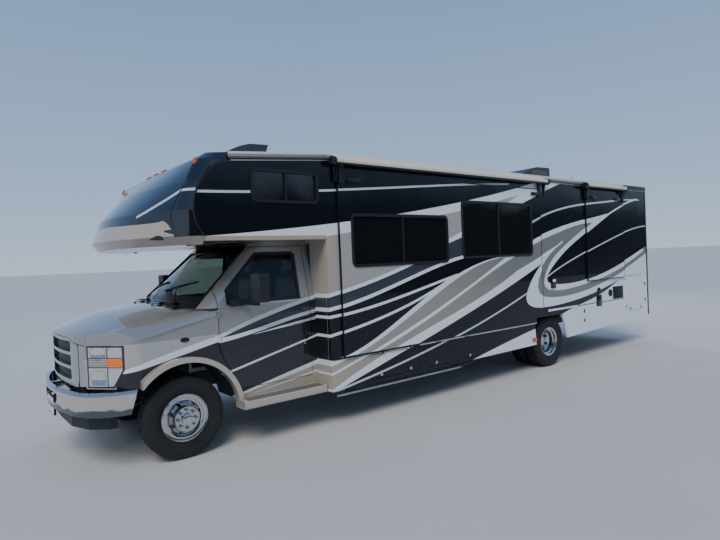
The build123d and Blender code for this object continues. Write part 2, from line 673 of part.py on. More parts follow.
def front_bumper():
    """A bowed chrome bumper with a slot above the plate."""
    def shape(inset):
        front = BUMPER_FRONT_X - inset
        pts = [(front - 70, 560), (front - 190, 850), (410, 985 - inset)]
        edges = []
        z = BUMPER_BOTTOM
        edges += ThreePointArc((pts[0][0], -pts[0][1], z), (front, 0, z), (pts[0][0], pts[0][1], z)).edges()
        for sign in (-1, 1):
            edges += ThreePointArc((pts[0][0], sign * pts[0][1], z), (front - 120, sign * (730 - inset * 0.3), z),
                                   (pts[1][0], sign * (pts[1][1] - inset * 0.7), z)).edges()
            edges += ThreePointArc((pts[1][0], sign * (pts[1][1] - inset * 0.7), z),
                                   (610 - inset * 0.5, sign * (955 - inset), z),
                                   (pts[2][0], sign * pts[2][1], z)).edges()
        edges += Line((pts[2][0], pts[2][1], z), (pts[2][0], -pts[2][1], z)).edges()
        return extrude(make_face(Wire.combine(edges)[0]), amount=210, dir=(0, 0, 1))
    body = shape(0) - shape(30)
    body -= rounded_block(700, 1100, -290, 290, 580, 680, 25, Axis.X)
    # the ends lean forward towards the bottom
    body -= side_plate([(300, BUMPER_BOTTOM + 215), (412, BUMPER_BOTTOM + 215), (478, BUMPER_BOTTOM - 5),
                        (300, BUMPER_BOTTOM - 5)], -1200, 1200)
    bracket = block(RAIL_FRONT_X, 905, RAIL_OUTER_Y - 60, RAIL_OUTER_Y - 10, 560, 670)
    return body + bracket + flipped(bracket)


def front_valance():
    """The dark apron under the bumper with its two tabs."""
    outline = [(870, 0), (860, 480), (770, 720), (620, 860), (560, 860), (720, 660), (800, 440), (812, 0)]
    mirrored = [(x, -y) for x, y in reversed(outline[1:-1])]
    top = BUMPER_BOTTOM - SEAT_GAP
    body = plan_plate(outline + mirrored, 395, top)
    tab = block(820, 915, 350, 400, top - 15, top)
    return body + tab + flipped(tab)


def wheel_liners():
    """Round liners above the front wheels."""
    fender_y = CAB_HALF_WIDTH - SKIN - SEAT_GAP
    outer = wheel_tunnel(ARCH_RADIUS + LINER_THICK, 570, fender_y) - wheel_tunnel(ARCH_RADIUS + 2, 500, 1200)
    outer &= block(-600, 336, 500, 1200, CAB_BOTTOM, 1100)
    outer -= block(-700, COWL_X + 20, 918, 1200, 0, 1200)
    return both(outer)


def cab_form(grow):
    """The cab's closed outer form, drawn larger by grow."""
    return nose(-grow) + cabin(-grow)


def flare():
    """One-piece left wheel flare and running board."""
    ring = rod_y(0, 960, 1075, ARCH_Z, ARCH_RADIUS + 50) - rod_y(0, 900, 1200, ARCH_Z, ARCH_RADIUS)
    ring &= block(-700, 392, 900, 1200, CAB_BOTTOM - 80, 1100)
    board = rounded_block(-1470, -410, 960, 1180, 385, 470, 20, Axis.X)
    board -= block(-700, -300, 900, 1200, 300, 500) & rod_y(0, 900, 1200, ARCH_Z, ARCH_RADIUS)
    return ring + board - cab_form(SEAT_GAP)


def mirror_arm():
    """The left towing mirror on its folding arm."""
    head = rounded_block(-690, -590, 1250, MIRROR_OUTER_Y, 1425, 1700, 35, Axis.X)
    arm = block(-640, -600, 1010, 1300, 1395, 1424)
    foot = block(-640, -480, 960, 1024, 1385, 1450)
    return head + arm + block(-640, -600, 1270, 1330, 1395, 1430) + (foot - cab_form(SEAT_GAP))


def dashboard():
    """Instrument panel, engine cover, column and steering wheel."""
    panel = side_plate([(-260.3, 1000), (-260.3, 1320), (-420, 1368), (-560, 1350), (-600, 1180), (-480, 1000)], -850, 850)
    cover = rounded_block(-860, -260.3, -240, 240, CAB_FLOOR_Z + 0.3, 1120, 40, Axis.X)
    column_axis = Pos(-540, 470, 1230) * Rot(0, -62, 0)
    column_length = 280
    column = column_axis * Cylinder(32, column_length, align=(Align.CENTER, Align.CENTER, Align.MIN))
    wheel = column_axis * Pos(0, 0, column_length) * (Torus(190, 15) + Box(360, 40, 14) + Cylinder(55, 30))
    return panel + cover + column + wheel


def seat(y):
    """One cab seat with its base, back and headrest."""
    base = block(-1380, -950, y - 200, y + 200, CAB_FLOOR_Z + SEAT_GAP, 960)
    cushion = rounded_block(-1420, -880, y - 250, y + 250, 960, 1090, 40)
    back = side_plate([(-1280, 1060), (-1390, 1060), (-1520, 1640), (-1400, 1660)], y - 240, y + 240)
    rest = side_plate([(-1400, 1675), (-1500, 1675), (-1515, 1850), (-1430, 1860)], y - 125, y + 125)
    posts = rod_z(-1455, y - 60, 1600, 1700, 8) + rod_z(-1455, y + 60, 1600, 1700, 8)
    return base + cushion + back + rest + posts


# Hinges: the fixed half carries two ears and the pin, the moving half one barrel

def strap_hinge(length, leaf_fixed, leaf_moving, sink=0):
    """A hinge along X at the origin; the fixed leaf lies above it and the moving one below.

    The leaves reach sink deeper than the barrel, into the panels that carry them.
    """
    third = length / 3
    pin = rod_x(-length / 2, length / 2, 0, 0, HINGE_PIN)
    fixed = pin
    for sign in (-1, 1):
        mid = sign * (third + 1)
        x0, x1 = mid - third / 2, mid + third / 2
        fixed += rod_x(x0, x1, 0, 0, HINGE_RADIUS)
        fixed += block(x0, x1, -HINGE_RADIUS - sink, HINGE_LEAF - HINGE_RADIUS, 0, leaf_fixed)
    half = third / 2 - 1.5
    moving = rod_x(-half, half, 0, 0, HINGE_RADIUS)
    moving += block(-half, half, -HINGE_RADIUS - sink, HINGE_LEAF - HINGE_RADIUS, -leaf_moving, 0)
    moving -= rod_x(-half - 5, half + 5, 0, 0, HINGE_PIN + PIN_CLEARANCE)
    return fixed, moving


HATCHES = [
    # name, side, front x, rear x, bottom z, top z
    ("hatch_left_1", 1, -2020, -2800, 430, 715),
    ("hatch_left_2", 1, -2900, -3880, 430, 715),
    ("hatch_left_rear", 1, REAR_AXLE_X - 2408, REAR_AXLE_X - 3088, 640, 1290),
    ("hatch_right_1", -1, -2020, -2800, 430, 715),
    ("hatch_right_rear", -1, REAR_AXLE_X - 2408, REAR_AXLE_X - 3088, 640, 1290),
]


def hatch_hinge_z(top):
    """Height of a luggage door's hinge pin, just above its gap."""
    return top + EDGE_GAP / 2


def hatch_set(side, x_front, x_rear, bottom, top):
    """One luggage door with its hinge halves, drawn on the left side and flipped for the right."""
    gap = EDGE_GAP
    door = block(x_rear + gap, x_front - gap, HALF_WIDTH - HATCH_THICK, HALF_WIDTH, bottom + gap, top - gap)
    moving_all = door
    fixed_all = []
    hinge_z = hatch_hinge_z(top)
    leaf = 17
    for share in (0.22, 0.78):
        x = x_front + (x_rear - x_front) * share
        fixed, moving = strap_hinge(90, leaf, leaf)
        place = Pos(x, HALF_WIDTH + HINGE_RADIUS, hinge_z)
        moving_all += place * moving
        fixed_all.append(place * fixed)
    latch_z = bottom + 40
    for share in (0.2, 0.8):
        x = x_front + (x_rear - x_front) * share
        moving_all += rod_y(x, HALF_WIDTH, HALF_WIDTH + 6, latch_z, 20)
    if side < 0:
        return flipped(moving_all), [flipped(f) for f in fixed_all]
    return moving_all, fixed_all


def hatch_holes(side):
    """Openings in wall and skirt for the luggage doors of one side, drawn on the left."""
    holes = None
    for name, row_side, x_front, x_rear, bottom, top in HATCHES:
        if row_side != side:
            continue
        cut = block(x_rear, x_front, HALF_WIDTH - 200, HALF_WIDTH + 50, bottom, top)
        holes = cut if holes is None else holes + cut
    return holes


def storage_tubs():
    """Compartments of flat panels behind the luggage doors."""
    tubs = []
    for name, side, x_front, x_rear, bottom, top in HATCHES:
        rear_tub = top > FLOOR_TOP
        skin = WALL if rear_tub else SKIRT_THICK
        y1 = HALF_WIDTH - skin - 0.3
        y0 = y1 - TUB_DEPTH
        z0, z1 = bottom - TUB_WALL, (top + TUB_WALL if rear_tub else RAIL_TOP - 0.3)
        inside_top = top if rear_tub else z1 - TUB_WALL
        outer_x = (x_rear - TUB_WALL, x_front + TUB_WALL)
        panels = [
            block(*outer_x, y0, y1, z0, bottom),
            block(*outer_x, y0, y1, inside_top, z1),
            block(*outer_x, y0, y0 + TUB_WALL, bottom, inside_top),
            block(x_rear - TUB_WALL, x_rear, y0 + TUB_WALL, y1, bottom, inside_top),
            block(x_front, x_front + TUB_WALL, y0 + TUB_WALL, y1, bottom, inside_top),
        ]
        tubs += panels if side > 0 else [flipped(panel) for panel in panels]
    return group(tubs)


# Coach body

def risen(share):
    """A height on the overhang, as a share of the way from its deck to the roof's edge."""
    return OVERHANG_Z + share * (ROOF_EDGE_Z - OVERHANG_Z)


# The seam between the cap and the side wall, in X and Z
SEAM = [(-160, OVERHANG_Z), (-75, risen(0.159)), (-55, risen(0.309)), (-95, risen(0.505)), (-220, risen(0.735))]


def roof_drop(x):
    """How far the roof has dropped at a point ahead of the break."""
    return ROOF_DROP * (x - ROOF_BREAK_X) / (ROOF_FRONT_X - ROOF_BREAK_X)


def wall_outline():
    """A side wall from the cap's seam to the rear wall."""
    under_roof = ROOF_EDGE_Z - ROOF_THICK
    front_top = (-430, under_roof - roof_drop(-430))
    return [
        (REAR_X, WALL_BOTTOM), (REAR_X, under_roof), (ROOF_BREAK_X, under_roof), front_top,
        *reversed(SEAM), (FRONT_WALL_X, OVERHANG_Z), (FRONT_WALL_X, WALL_BOTTOM),
    ]


MAIN_ROOM = dict(x0=WELL_FRONT_X - 122, x1=-1700, z0=FLOOR_TOP + ROOM_CLEARANCE, z1=ROOF_EDGE_Z - 255,
                 notch_x=WELL_FRONT_X + 73, notch_z=WELL_TOP_Z + 35)
REAR_ROOM = dict(x0=REAR_AXLE_X - 2258, x1=REAR_AXLE_X - 1093, z0=1330, z1=ROOF_EDGE_Z - 240,
                 notch_x=None, notch_z=None)


def room_outline(room, grow):
    """A slide-out room's outline in X and Z, drawn larger by grow."""
    x0, x1, z0, z1 = room["x0"] - grow, room["x1"] + grow, room["z0"] - grow, room["z1"] + grow
    if room["notch_x"] is None:
        return [(x0, z0), (x1, z0), (x1, z1), (x0, z1)]
    nx, nz = room["notch_x"] - grow, room["notch_z"] - grow
    return [(x0, nz), (nx, nz), (nx, z0), (x1, z0), (x1, z1), (x0, z1)]


WINDOWS = [
    # name, side, front x, rear x, bottom z, top z
    ("bunk_left", 1, -628, -1410, ROOF_EDGE_Z - 545, ROOF_EDGE_Z - 210),
    ("bunk_right", -1, -628, -1410, ROOF_EDGE_Z - 545, ROOF_EDGE_Z - 210),
    ("dinette_right", -1, -1900, -3420, 1720, ROOF_EDGE_Z - 630),
    ("galley_right", -1, REAR_AXLE_X + 352, REAR_AXLE_X - 548, ROOF_EDGE_Z - 1030, ROOF_EDGE_Z - 630),
    ("bedroom_right", -1, REAR_AXLE_X - 1198, REAR_AXLE_X - 2198, 1720, ROOF_EDGE_Z - 630),
]
SLIDE_WINDOWS = [
    # front and rear edge as shares of the main room's length from its front, bottom z, top z
    (0.0273, 0.4512, 1705, ROOF_EDGE_Z - 630),
    (0.5228, 0.951, 1742, ROOF_EDGE_Z - 425),
]


def slide_windows():
    """The main room's windows as front x, rear x, bottom z and top z."""
    front = MAIN_ROOM["x1"]
    length = front - MAIN_ROOM["x0"]
    return [(front - near * length, front - far * length, z0, z1) for near, far, z0, z1 in SLIDE_WINDOWS]


def window_hole(x_front, x_rear, z0, z1, y0, y1):
    """The opening a window sits in."""
    return rounded_block(x_rear + 8, x_front - 8, y0, y1, z0 + 8, z1 - 8, FRAME_CORNER)


def window_set(x_front, x_rear, z0, z1, face_y, depth):
    """A window: frame proud of the wall, mullion and a pane in the opening."""
    outer = rounded_block(x_rear, x_front, face_y, face_y + FRAME_PROUD, z0, z1, FRAME_CORNER + 6)
    lining = rounded_block(x_rear + 8.3, x_front - 8.3, face_y - depth, face_y, z0 + 8.3, z1 - 8.3, FRAME_CORNER)
    clear = rounded_block(x_rear + FRAME_WIDTH, x_front - FRAME_WIDTH, face_y - depth - 5, face_y + 30,
                          z0 + FRAME_WIDTH, z1 - FRAME_WIDTH, FRAME_CORNER - 24)
    mid = (x_front + x_rear) / 2
    bar = block(mid - 12, mid + 12, face_y - 14, face_y + 4, z0 + FRAME_WIDTH - 4, z1 - FRAME_WIDTH + 4)
    frame = (outer + lining) - clear + bar
    pane = rounded_block(x_rear + FRAME_WIDTH, x_front - FRAME_WIDTH, face_y - 20, face_y - 14,
                         z0 + FRAME_WIDTH, z1 - FRAME_WIDTH, FRAME_CORNER - 24)
    return frame + pane


def wheel_opening():
    """The skirt and wall opening above a rear wheel."""
    return [
        (WELL_FRONT_X - 5, 300), (WELL_FRONT_X + 35, ARCH_TOP_Z), (WELL_REAR_X + 150, ARCH_TOP_Z), (WELL_REAR_X, 300),
    ]


def side_wall(side):
    """One side wall with every opening, drawn on the left."""
    wall = side_plate(wall_outline(), HALF_WIDTH - WALL, HALF_WIDTH)
    wall -= side_plate(wheel_opening(), HALF_WIDTH - 100, HALF_WIDTH + 50)
    wall -= hatch_holes(side)
    for name, row_side, x_front, x_rear, z0, z1 in WINDOWS:
        if row_side == side:
            wall -= window_hole(x_front, x_rear, z0, z1, HALF_WIDTH - 100, HALF_WIDTH + 50)
    if side > 0:
        for room in (MAIN_ROOM, REAR_ROOM):
            wall -= side_plate(room_outline(room, ROOM_CLEARANCE), HALF_WIDTH - 100, HALF_WIDTH + 50)
    else:
        wall -= block(ENTRY_REAR_X, ENTRY_FRONT_X, HALF_WIDTH - 100, HALF_WIDTH + 50, ENTRY_BOTTOM - 200, ENTRY_TOP)
    for name, row_side, x_front, x_rear, bottom, top in HATCHES:
        if row_side == side and top > FLOOR_TOP:
            for fixed in hatch_set(1, x_front, x_rear, bottom, top)[1]:
                wall += fixed
    return wall


def left_wall():
    """The left wall in lengths between the edges of its two rooms, with the rear room's runners."""
    places = [MAIN_ROOM["x1"] + ROOM_CLEARANCE, MAIN_ROOM["notch_x"] - ROOM_CLEARANCE, MAIN_ROOM["x0"] - ROOM_CLEARANCE,
              REAR_ROOM["x1"] + ROOM_CLEARANCE, REAR_ROOM["x0"] - ROOM_CLEARANCE]
    runners = [block(x - 30, x + 30, SLIDE_INNER_Y, HALF_WIDTH - WALL, 1230, REAR_ROOM["z0"] - RUNNER_GAP)
               for x in (REAR_ROOM["x1"] - 105, REAR_ROOM["x0"] + 110)]
    return group([in_lengths(side_wall(1), places), *runners])


def skirt(side):
    """The panel below one side wall, in two lengths, drawn on the left."""
    y0, y1 = HALF_WIDTH - SKIRT_THICK, HALF_WIDTH
    front = side_plate([(FRONT_WALL_X, SKIRT_BOTTOM), (FRONT_WALL_X, WALL_BOTTOM), (WELL_REAR_X, WALL_BOTTOM),
                        (WELL_REAR_X, SKIRT_BOTTOM + 20)], y0, y1)
    rear = side_plate([(WELL_REAR_X, SKIRT_BOTTOM + 20), (WELL_REAR_X, WALL_BOTTOM), (REAR_X, WALL_BOTTOM),
                       (REAR_X, REAR_SKIRT_BOTTOM)], y0, y1)
    body = front + rear - side_plate(wheel_opening(), y0 - 50, y1 + 50)
    body -= hatch_holes(side)
    if side < 0:
        body -= block(ENTRY_REAR_X, ENTRY_FRONT_X, y0 - 50, y1 + 50, ENTRY_BOTTOM - 100, 800)
        body -= block(ENTRY_REAR_X + 50, ENTRY_FRONT_X - 50, y0 - 50, y1 + 50, STEP_Z - 8, STEP_Z + 58)
    for name, row_side, x_front, x_rear, bottom, top in HATCHES:
        if row_side == side and top < FLOOR_TOP:
            for fixed in hatch_set(1, x_front, x_rear, bottom, top)[1]:
                body += fixed
    return body


def coach_floor():
    """The floor slab with its wheel wells, step well and slide runners."""
    inner_y = HALF_WIDTH - WALL
    floor = block(REAR_X + WALL, FRONT_WALL_X - STRIP_THICK, -inner_y, inner_y, RAIL_TOP, FLOOR_TOP)
    well_cut = block(WELL_REAR_X, WELL_FRONT_X + 35, WELL_INNER_Y, inner_y + 10, RAIL_TOP - 50, FLOOR_TOP + 50)
    floor = floor - well_cut - flipped(well_cut)
    for name, side, x_front, x_rear, bottom, top in HATCHES:
        if top > FLOOR_TOP:
            cut = block(x_rear - TUB_WALL - 0.3, x_front + TUB_WALL + 0.3, inner_y - TUB_DEPTH - 1, inner_y + 10,
                        RAIL_TOP - 50, FLOOR_TOP + 50)
            floor -= cut if side > 0 else flipped(cut)
    t = 12
    well = block(WELL_REAR_X - t, WELL_FRONT_X + 35 + t, WELL_INNER_Y - t, inner_y, RAIL_TOP, WELL_TOP_Z + t)
    well -= block(WELL_REAR_X, WELL_FRONT_X + 35, WELL_INNER_Y, inner_y + 10, RAIL_TOP - 10, WELL_TOP_Z)
    floor = floor + well + flipped(well)
    step_y0, step_y1 = -inner_y, -inner_y + 330
    floor -= block(ENTRY_REAR_X, ENTRY_FRONT_X, step_y0 - 10, step_y1, RAIL_TOP - 10, FLOOR_TOP + 10)
    tray = block(ENTRY_REAR_X, ENTRY_FRONT_X, step_y0, step_y1 + t, TRAY_BOTTOM, RAIL_TOP + 20)
    tray -= block(ENTRY_REAR_X + t, ENTRY_FRONT_X - t, step_y0 - 10, step_y1, TRAY_BOTTOM + t, FLOOR_TOP)
    floor += tray
    for guide in step_guides():
        floor += guide
    for x in (-2000, -3500, MAIN_ROOM["notch_x"] + 162):
        floor += block(x - 30, x + 30, SLIDE_INNER_Y, inner_y, FLOOR_TOP, MAIN_ROOM["z0"] - RUNNER_GAP)
    return floor


def slide_room(room):
    """A hollow room open towards the aisle, with its fascia lapping the wall."""
    outer = side_plate(room_outline(room, 0), SLIDE_INNER_Y, HALF_WIDTH + SEAL_GAP)
    inner = side_plate(room_outline(room, -SLIDE_WALL), SLIDE_INNER_Y - 10, HALF_WIDTH + SEAL_GAP - SLIDE_WALL)
    fascia_y = HALF_WIDTH + SEAL_GAP
    fascia = side_plate(room_outline(room, FASCIA_LAP), fascia_y, fascia_y + FASCIA_THICK)
    body = outer - inner + fascia
    if room is MAIN_ROOM:
        for x_front, x_rear, z0, z1 in slide_windows():
            body -= window_hole(x_front, x_rear, z0, z1, fascia_y - 100, fascia_y + 60)
    return body


def topper(room, over_front, over_rear, top_z):
    """The fabric roll above a slide-out room, reaching over the room's ends, with its brackets."""
    x_front, x_rear = room["x1"] + over_front, room["x0"] - over_rear
    fascia_front, fascia_rear = room["x1"] + FASCIA_LAP, room["x0"] - FASCIA_LAP
    y = HALF_WIDTH + SEAL_GAP + FASCIA_THICK
    roll_y, roll_z = y + 40, top_z
    roll = rod_x(x_rear, x_front, roll_y, roll_z, TOPPER_RADIUS)
    for x in (x_front, x_rear):
        roll += rod_x(x - 14, x + 14, roll_y, roll_z, TOPPER_RADIUS + 8)
    for x0 in (fascia_front - 70, fascia_rear + 10):
        roll += block(x0, x0 + 60, y, y + 26, top_z - 230, top_z - 20)
        roll += block(x0, x0 + 60, y, roll_y, top_z - 60, top_z - 20)
    return roll


def roof():
    """A crowned roof with a sloped length over the cab."""
    def section(x, edge_z, crown):
        y = HALF_WIDTH
        low = edge_z - ROOF_THICK
        edges = []
        edges += Polyline((x, y, edge_z), (x, y, low), (x, -y, low), (x, -y, edge_z)).edges()
        edges += ThreePointArc((x, -y, edge_z), (x, 0, edge_z + crown), (x, y, edge_z)).edges()
        return make_face(Wire.combine(edges)[0])
    rear = extrude(section(REAR_X, ROOF_EDGE_Z, ROOF_CROWN), amount=ROOF_BREAK_X - REAR_X, dir=(1, 0, 0))
    front = loft([section(ROOF_BREAK_X, ROOF_EDGE_Z, ROOF_CROWN),
                  section(ROOF_FRONT_X, ROOF_EDGE_Z - ROOF_DROP, ROOF_CROWN - CROWN_LOSS)], ruled=True)
    return rear + front


CAP_ROWS = [
    # z, front x, corner x, corner y, side x, half width
    (OVERHANG_Z - 72, 420, 30, HALF_WIDTH - 202, -220, HALF_WIDTH - 72),
    (OVERHANG_Z + 8, 478, 110, HALF_WIDTH - 157, -150, HALF_WIDTH),
    (risen(0.274), 385, 75, HALF_WIDTH - 132, -120, HALF_WIDTH),
    (risen(0.574), 130, -30, HALF_WIDTH - 112, -170, HALF_WIDTH),
    (risen(0.816), -110, -130, HALF_WIDTH - 97, -300, HALF_WIDTH - 4),
    (risen(0.965), -330, -335, HALF_WIDTH - 162, -480, HALF_WIDTH - 60),
]
CAP_REAR_X = -440


def cap_section(row, inset):
    """A level section of the cap over the cab."""
    z, front_x, corner_x, corner_y, side_x, half = row
    if inset:
        front_x, corner_x, side_x = front_x - inset * 1.5, corner_x - inset * 1.3, side_x - inset
        corner_y, half = corner_y - inset, half - inset
    rear = CAP_REAR_X - 200
    edges = []
    edges += ThreePointArc((corner_x, -corner_y, z), (front_x, 0, z), (corner_x, corner_y, z)).edges()
    for sign in (-1, 1):
        mid = ((corner_x + side_x) / 2 + 28, sign * (corner_y + (half - corner_y) * 0.68), z)
        edges += ThreePointArc((corner_x, sign * corner_y, z), mid, (side_x, sign * half, z)).edges()
        edges += Line((side_x, sign * half, z), (rear, sign * half, z)).edges()
    edges += Line((rear, half, z), (rear, -half, z)).edges()
    return make_face(Wire.combine(edges)[0])


def under_roof_line(lower):
    """Everything under the sloping roof's surface, run on over the cap and lowered."""
    def section(x):
        along = (x - ROOF_BREAK_X) / (ROOF_FRONT_X - ROOF_BREAK_X)
        edge_z = ROOF_EDGE_Z - ROOF_DROP * along - lower
        crown = ROOF_CROWN - CROWN_LOSS * along
        y, wide = HALF_WIDTH, HALF_WIDTH + 20
        edges = Polyline((x, y, edge_z), (x, wide, edge_z), (x, wide, 1500), (x, -wide, 1500), (x, -wide, edge_z),
                         (x, -y, edge_z)).edges()
        edges += ThreePointArc((x, -y, edge_z), (x, 0, edge_z + crown), (x, y, edge_z)).edges()
        return make_face(Wire.combine(edges)[0])
    return loft([section(-900), section(600)], ruled=True)


def front_cap():
    """The moulded cap over the cab, hollow for the bunk."""
    outer = loft([cap_section(row, 0) for row in CAP_ROWS], ruled=True) & under_roof_line(0)
    inner = loft([cap_section(row, CAP_SHELL) for row in CAP_ROWS], ruled=True) & under_roof_line(CAP_SHELL)
    inner &= block(-2000, 1000, -1300, 1300, OVERHANG_Z, CAP_ROWS[-1][0] - CAP_SHELL)
    shell = outer - inner
    under_roof = ROOF_EDGE_Z - ROOF_THICK
    behind = side_plate([*SEAM, (-430, under_roof - roof_drop(-430)), (-430, 3200), (-900, 3200),
                         (-900, 1900), (-160, 1900)], -1400, 1400)
    return shell - behind


def cab_surround():
    """The strip wall beside the cab, its sill and the deck over the cab."""
    inner_y = HALF_WIDTH - WALL
    low_y = HALF_WIDTH - SKIRT_THICK
    x0 = FRONT_WALL_X - STRIP_THICK
    deck_low = OVERHANG_Z - OVERHANG_DECK
    strip = block(x0, FRONT_WALL_X, -inner_y, inner_y, WALL_BOTTOM, deck_low)
    strip += block(x0, FRONT_WALL_X, -low_y, low_y, SKIRT_BOTTOM, WALL_BOTTOM)
    strip -= block(x0 - 5, FRONT_WALL_X + 5, -PASSAGE_HALF, PASSAGE_HALF, FLOOR_TOP, 1990)
    strip -= block(x0 - 5, FRONT_WALL_X + 5, -PASSAGE_HALF, PASSAGE_HALF, SKIRT_BOTTOM - 5, RAIL_TOP)
    deck = block(x0, SEAM[0][0], -HALF_WIDTH, HALF_WIDTH, deck_low, OVERHANG_Z)
    deck -= block(x0 - 5, FRONT_WALL_X, inner_y, HALF_WIDTH + 5, deck_low - 5, OVERHANG_Z + 5)
    deck -= block(x0 - 5, FRONT_WALL_X, -HALF_WIDTH - 5, -inner_y, deck_low - 5, OVERHANG_Z + 5)
    deck -= block(-1400, -700, -700, 700, deck_low - 10, OVERHANG_Z + 10)
    return strip + deck


def rear_wall():
    """The flat rear wall."""
    inner_y = HALF_WIDTH - WALL
    return block(REAR_X, REAR_X + WALL, -inner_y, inner_y, REAR_SKIRT_BOTTOM, ROOF_EDGE_Z - ROOF_THICK)


def entry_door():
    """The coach's entry door with a window, hinged at its front edge."""
    gap = EDGE_GAP
    y1 = HALF_WIDTH
    door = block(ENTRY_REAR_X + gap, ENTRY_FRONT_X - gap, y1 - 38, y1, ENTRY_BOTTOM + gap, ENTRY_TOP - gap)
    door -= rounded_block(ENTRY_REAR_X + 150, ENTRY_FRONT_X - 150, y1 - 60, y1 + 20, 1560, ENTRY_TOP - 220, 60)
    pane = rounded_block(ENTRY_REAR_X + 130, ENTRY_FRONT_X - 130, y1, y1 + 6, 1540, ENTRY_TOP - 200, 70)
    handle = block(ENTRY_REAR_X + 40, ENTRY_REAR_X + 110, y1, y1 + 18, 1280, 1440)
    door = door + pane + handle
    fixed_all = []
    for z in (ENTRY_BOTTOM + 260, 1500, ENTRY_TOP - 260):
        fixed, moving = strap_hinge(90, 26, 26)
        place = Pos(ENTRY_FRONT_X + gap / 2, y1 + HINGE_RADIUS, z) * Rot(0, 90, 0)
        door += place * moving
        fixed_all.append(place * fixed)
    return door, fixed_all


def entry_step():
    """A step tread that slides out below the entry door."""
    x0, x1 = ENTRY_REAR_X + 60, ENTRY_FRONT_X - 60
    y = 20 - HALF_WIDTH
    tread = block(x0, x1, y, y + 240, STEP_Z, STEP_Z + 12)
    tread += block(x0, x1, y, y + 12, STEP_Z, STEP_Z + STEP_ARM_HIGH)
    for x in (x0, x1 - 12):
        tread += block(x, x + 12, y, y + 500, STEP_Z, STEP_Z + STEP_ARM_HIGH)
    return tread


def step_guides():
    """Channels that carry the step's arms under the floor."""
    guides = []
    x0, x1 = ENTRY_REAR_X + 60, ENTRY_FRONT_X - 60
    y0, y1 = 200 - HALF_WIDTH, 540 - HALF_WIDTH
    low, high = STEP_Z - SEAT_GAP, STEP_Z + STEP_ARM_HIGH + SEAT_GAP
    for x, out in ((x0, -1), (x1, 1)):
        a, b = sorted((x + out * SEAT_GAP, x + out * 14))
        c, d = sorted((x - out * 12, x + out * 14))
        guide = block(a, b, y0, y1, low - 6, TRAY_BOTTOM)
        guide += block(c, d, y0 + 60, y1, low - 6, low) + block(c, d, y0, y1, high, high + 6)
        guides.append(guide)
    return guides


def awning():
    """The patio awning's case and roll, folded against the right wall."""
    x0, x1 = REAR_AXLE_X - 1198, -1760
    y = -HALF_WIDTH
    roll_z = ROOF_EDGE_Z - 140
    case = rod_x(x0, x1, y - 62, roll_z, 52) + block(x0, x1, y - 30, y, roll_z - 30, roll_z + 45)
    for x in (x0 + 60, x1 - 100):
        case += block(x, x + 40, y - 62, y, roll_z - 230, roll_z + 10)
    return case


def roof_units():
    """Air conditioners with curved fronts, and vents."""
    units = []

    def pod(x0, x1, y, half, height, front_height):
        low = ROOF_EDGE_Z + ROOF_CROWN - max(0, roof_drop(x1))
        sunk = low - ROOF_THICK
        outline = [(x0, sunk), (x0, low + height), (x0 + 0.25 * (x1 - x0), low + height),
                   (x1 - 60, low + front_height), (x1, sunk)]
        return side_plate(outline, y - half, y + half)

    def cooler(x0, x1, half, height, rake):
        low = ROOF_EDGE_Z + ROOF_CROWN - max(0, roof_drop(x1)) - 10
        top = ROOF_EDGE_Z + ROOF_CROWN - max(0, roof_drop(x0)) + height
        length = x1 - x0
        shoulder = (x1 - 0.66 * length, -half, top - 8)
        edges = ThreePointArc((x1, -half, low), (x1 - 0.33 * length, -half, low + 0.65 * (top - low)), shoulder).edges()
        edges += Polyline(shoulder, (x0, -half, top), (x0 + rake, -half, low - 30), (x1, -half, low - 30),
                          (x1, -half, low)).edges()
        return extrude(make_face(Wire.combine(edges)[0]), amount=2 * half, dir=(0, 1, 0))
    pods = [
        # rear x, front x, y, half width, height, front height
        (-5400, -4650, 0, 300, 170, 90),
        (-3300, -2900, 0, 200, 70, 50),
        (REAR_AXLE_X - 1178, REAR_AXLE_X - 1018, 930, 70, 65, 50),
    ]
    coolers = [
        # rear x, front x, half width, height, lean of the rear end
        (REAR_AXLE_X - 1480, REAR_AXLE_X - 350, 370, 300, 0),
        (-1405, -720, 260, 185, 90),
    ]
    forms = [cooler(*row) for row in coolers] + [pod(*row) for row in pods]
    for form in forms:
        above = (form - Pos(0, 0, SEAT_GAP) * roof()).solids().sort_by(Axis.Z)[-1]
        units.append(above)
    return group(units)


def ladder():
    """The rear ladder on its standoffs."""
    x = REAR_X - 70
    outer_y = 312 - HALF_WIDTH
    inner_y = outer_y + 350
    low, high = 800, ROOF_EDGE_Z - 50
    pitch = (high - low - 340) / 6
    whole = rod_z(x, outer_y, low, high, 13) + rod_z(x, inner_y, low, high, 13)
    for y in (outer_y, inner_y):
        for z in (low + 100, low + 1100, high - 60):
            whole += rod_x(x, REAR_X, y, z, 10)
    for step in range(7):
        whole += rod_y(x, outer_y, inner_y, low + 150 + pitch * step, 12)
    return whole


def rear_bumper():
    """The rear bumper tube and the hitch receiver."""
    tube = rounded_block(REAR_BUMPER_X, REAR_X - 0.3, -1080, 1080, 470, 580, 15, Axis.Y)
    arm = block(REAR_X - 10, REAR_X + 60, RAIL_OUTER_Y - 70, RAIL_OUTER_Y, 500, 640)
    arm -= block(REAR_X - 0.3, REAR_X + 60, RAIL_OUTER_Y - 100, RAIL_OUTER_Y + 10, 640, 700)
    receiver = block(REAR_BUMPER_X, REAR_X + 300, -32, 32, 400, 464) - block(REAR_BUMPER_X - 5, REAR_X + 200, -25.4, 25.4,
                                                                        406.6, 457.4)
    receiver -= rod_y(REAR_BUMPER_X + 45, -60, 60, 432, 8)
    hanger = block(REAR_X - 60, REAR_X - 20, -32, 32, 464, 472)
    return tube + receiver + hanger


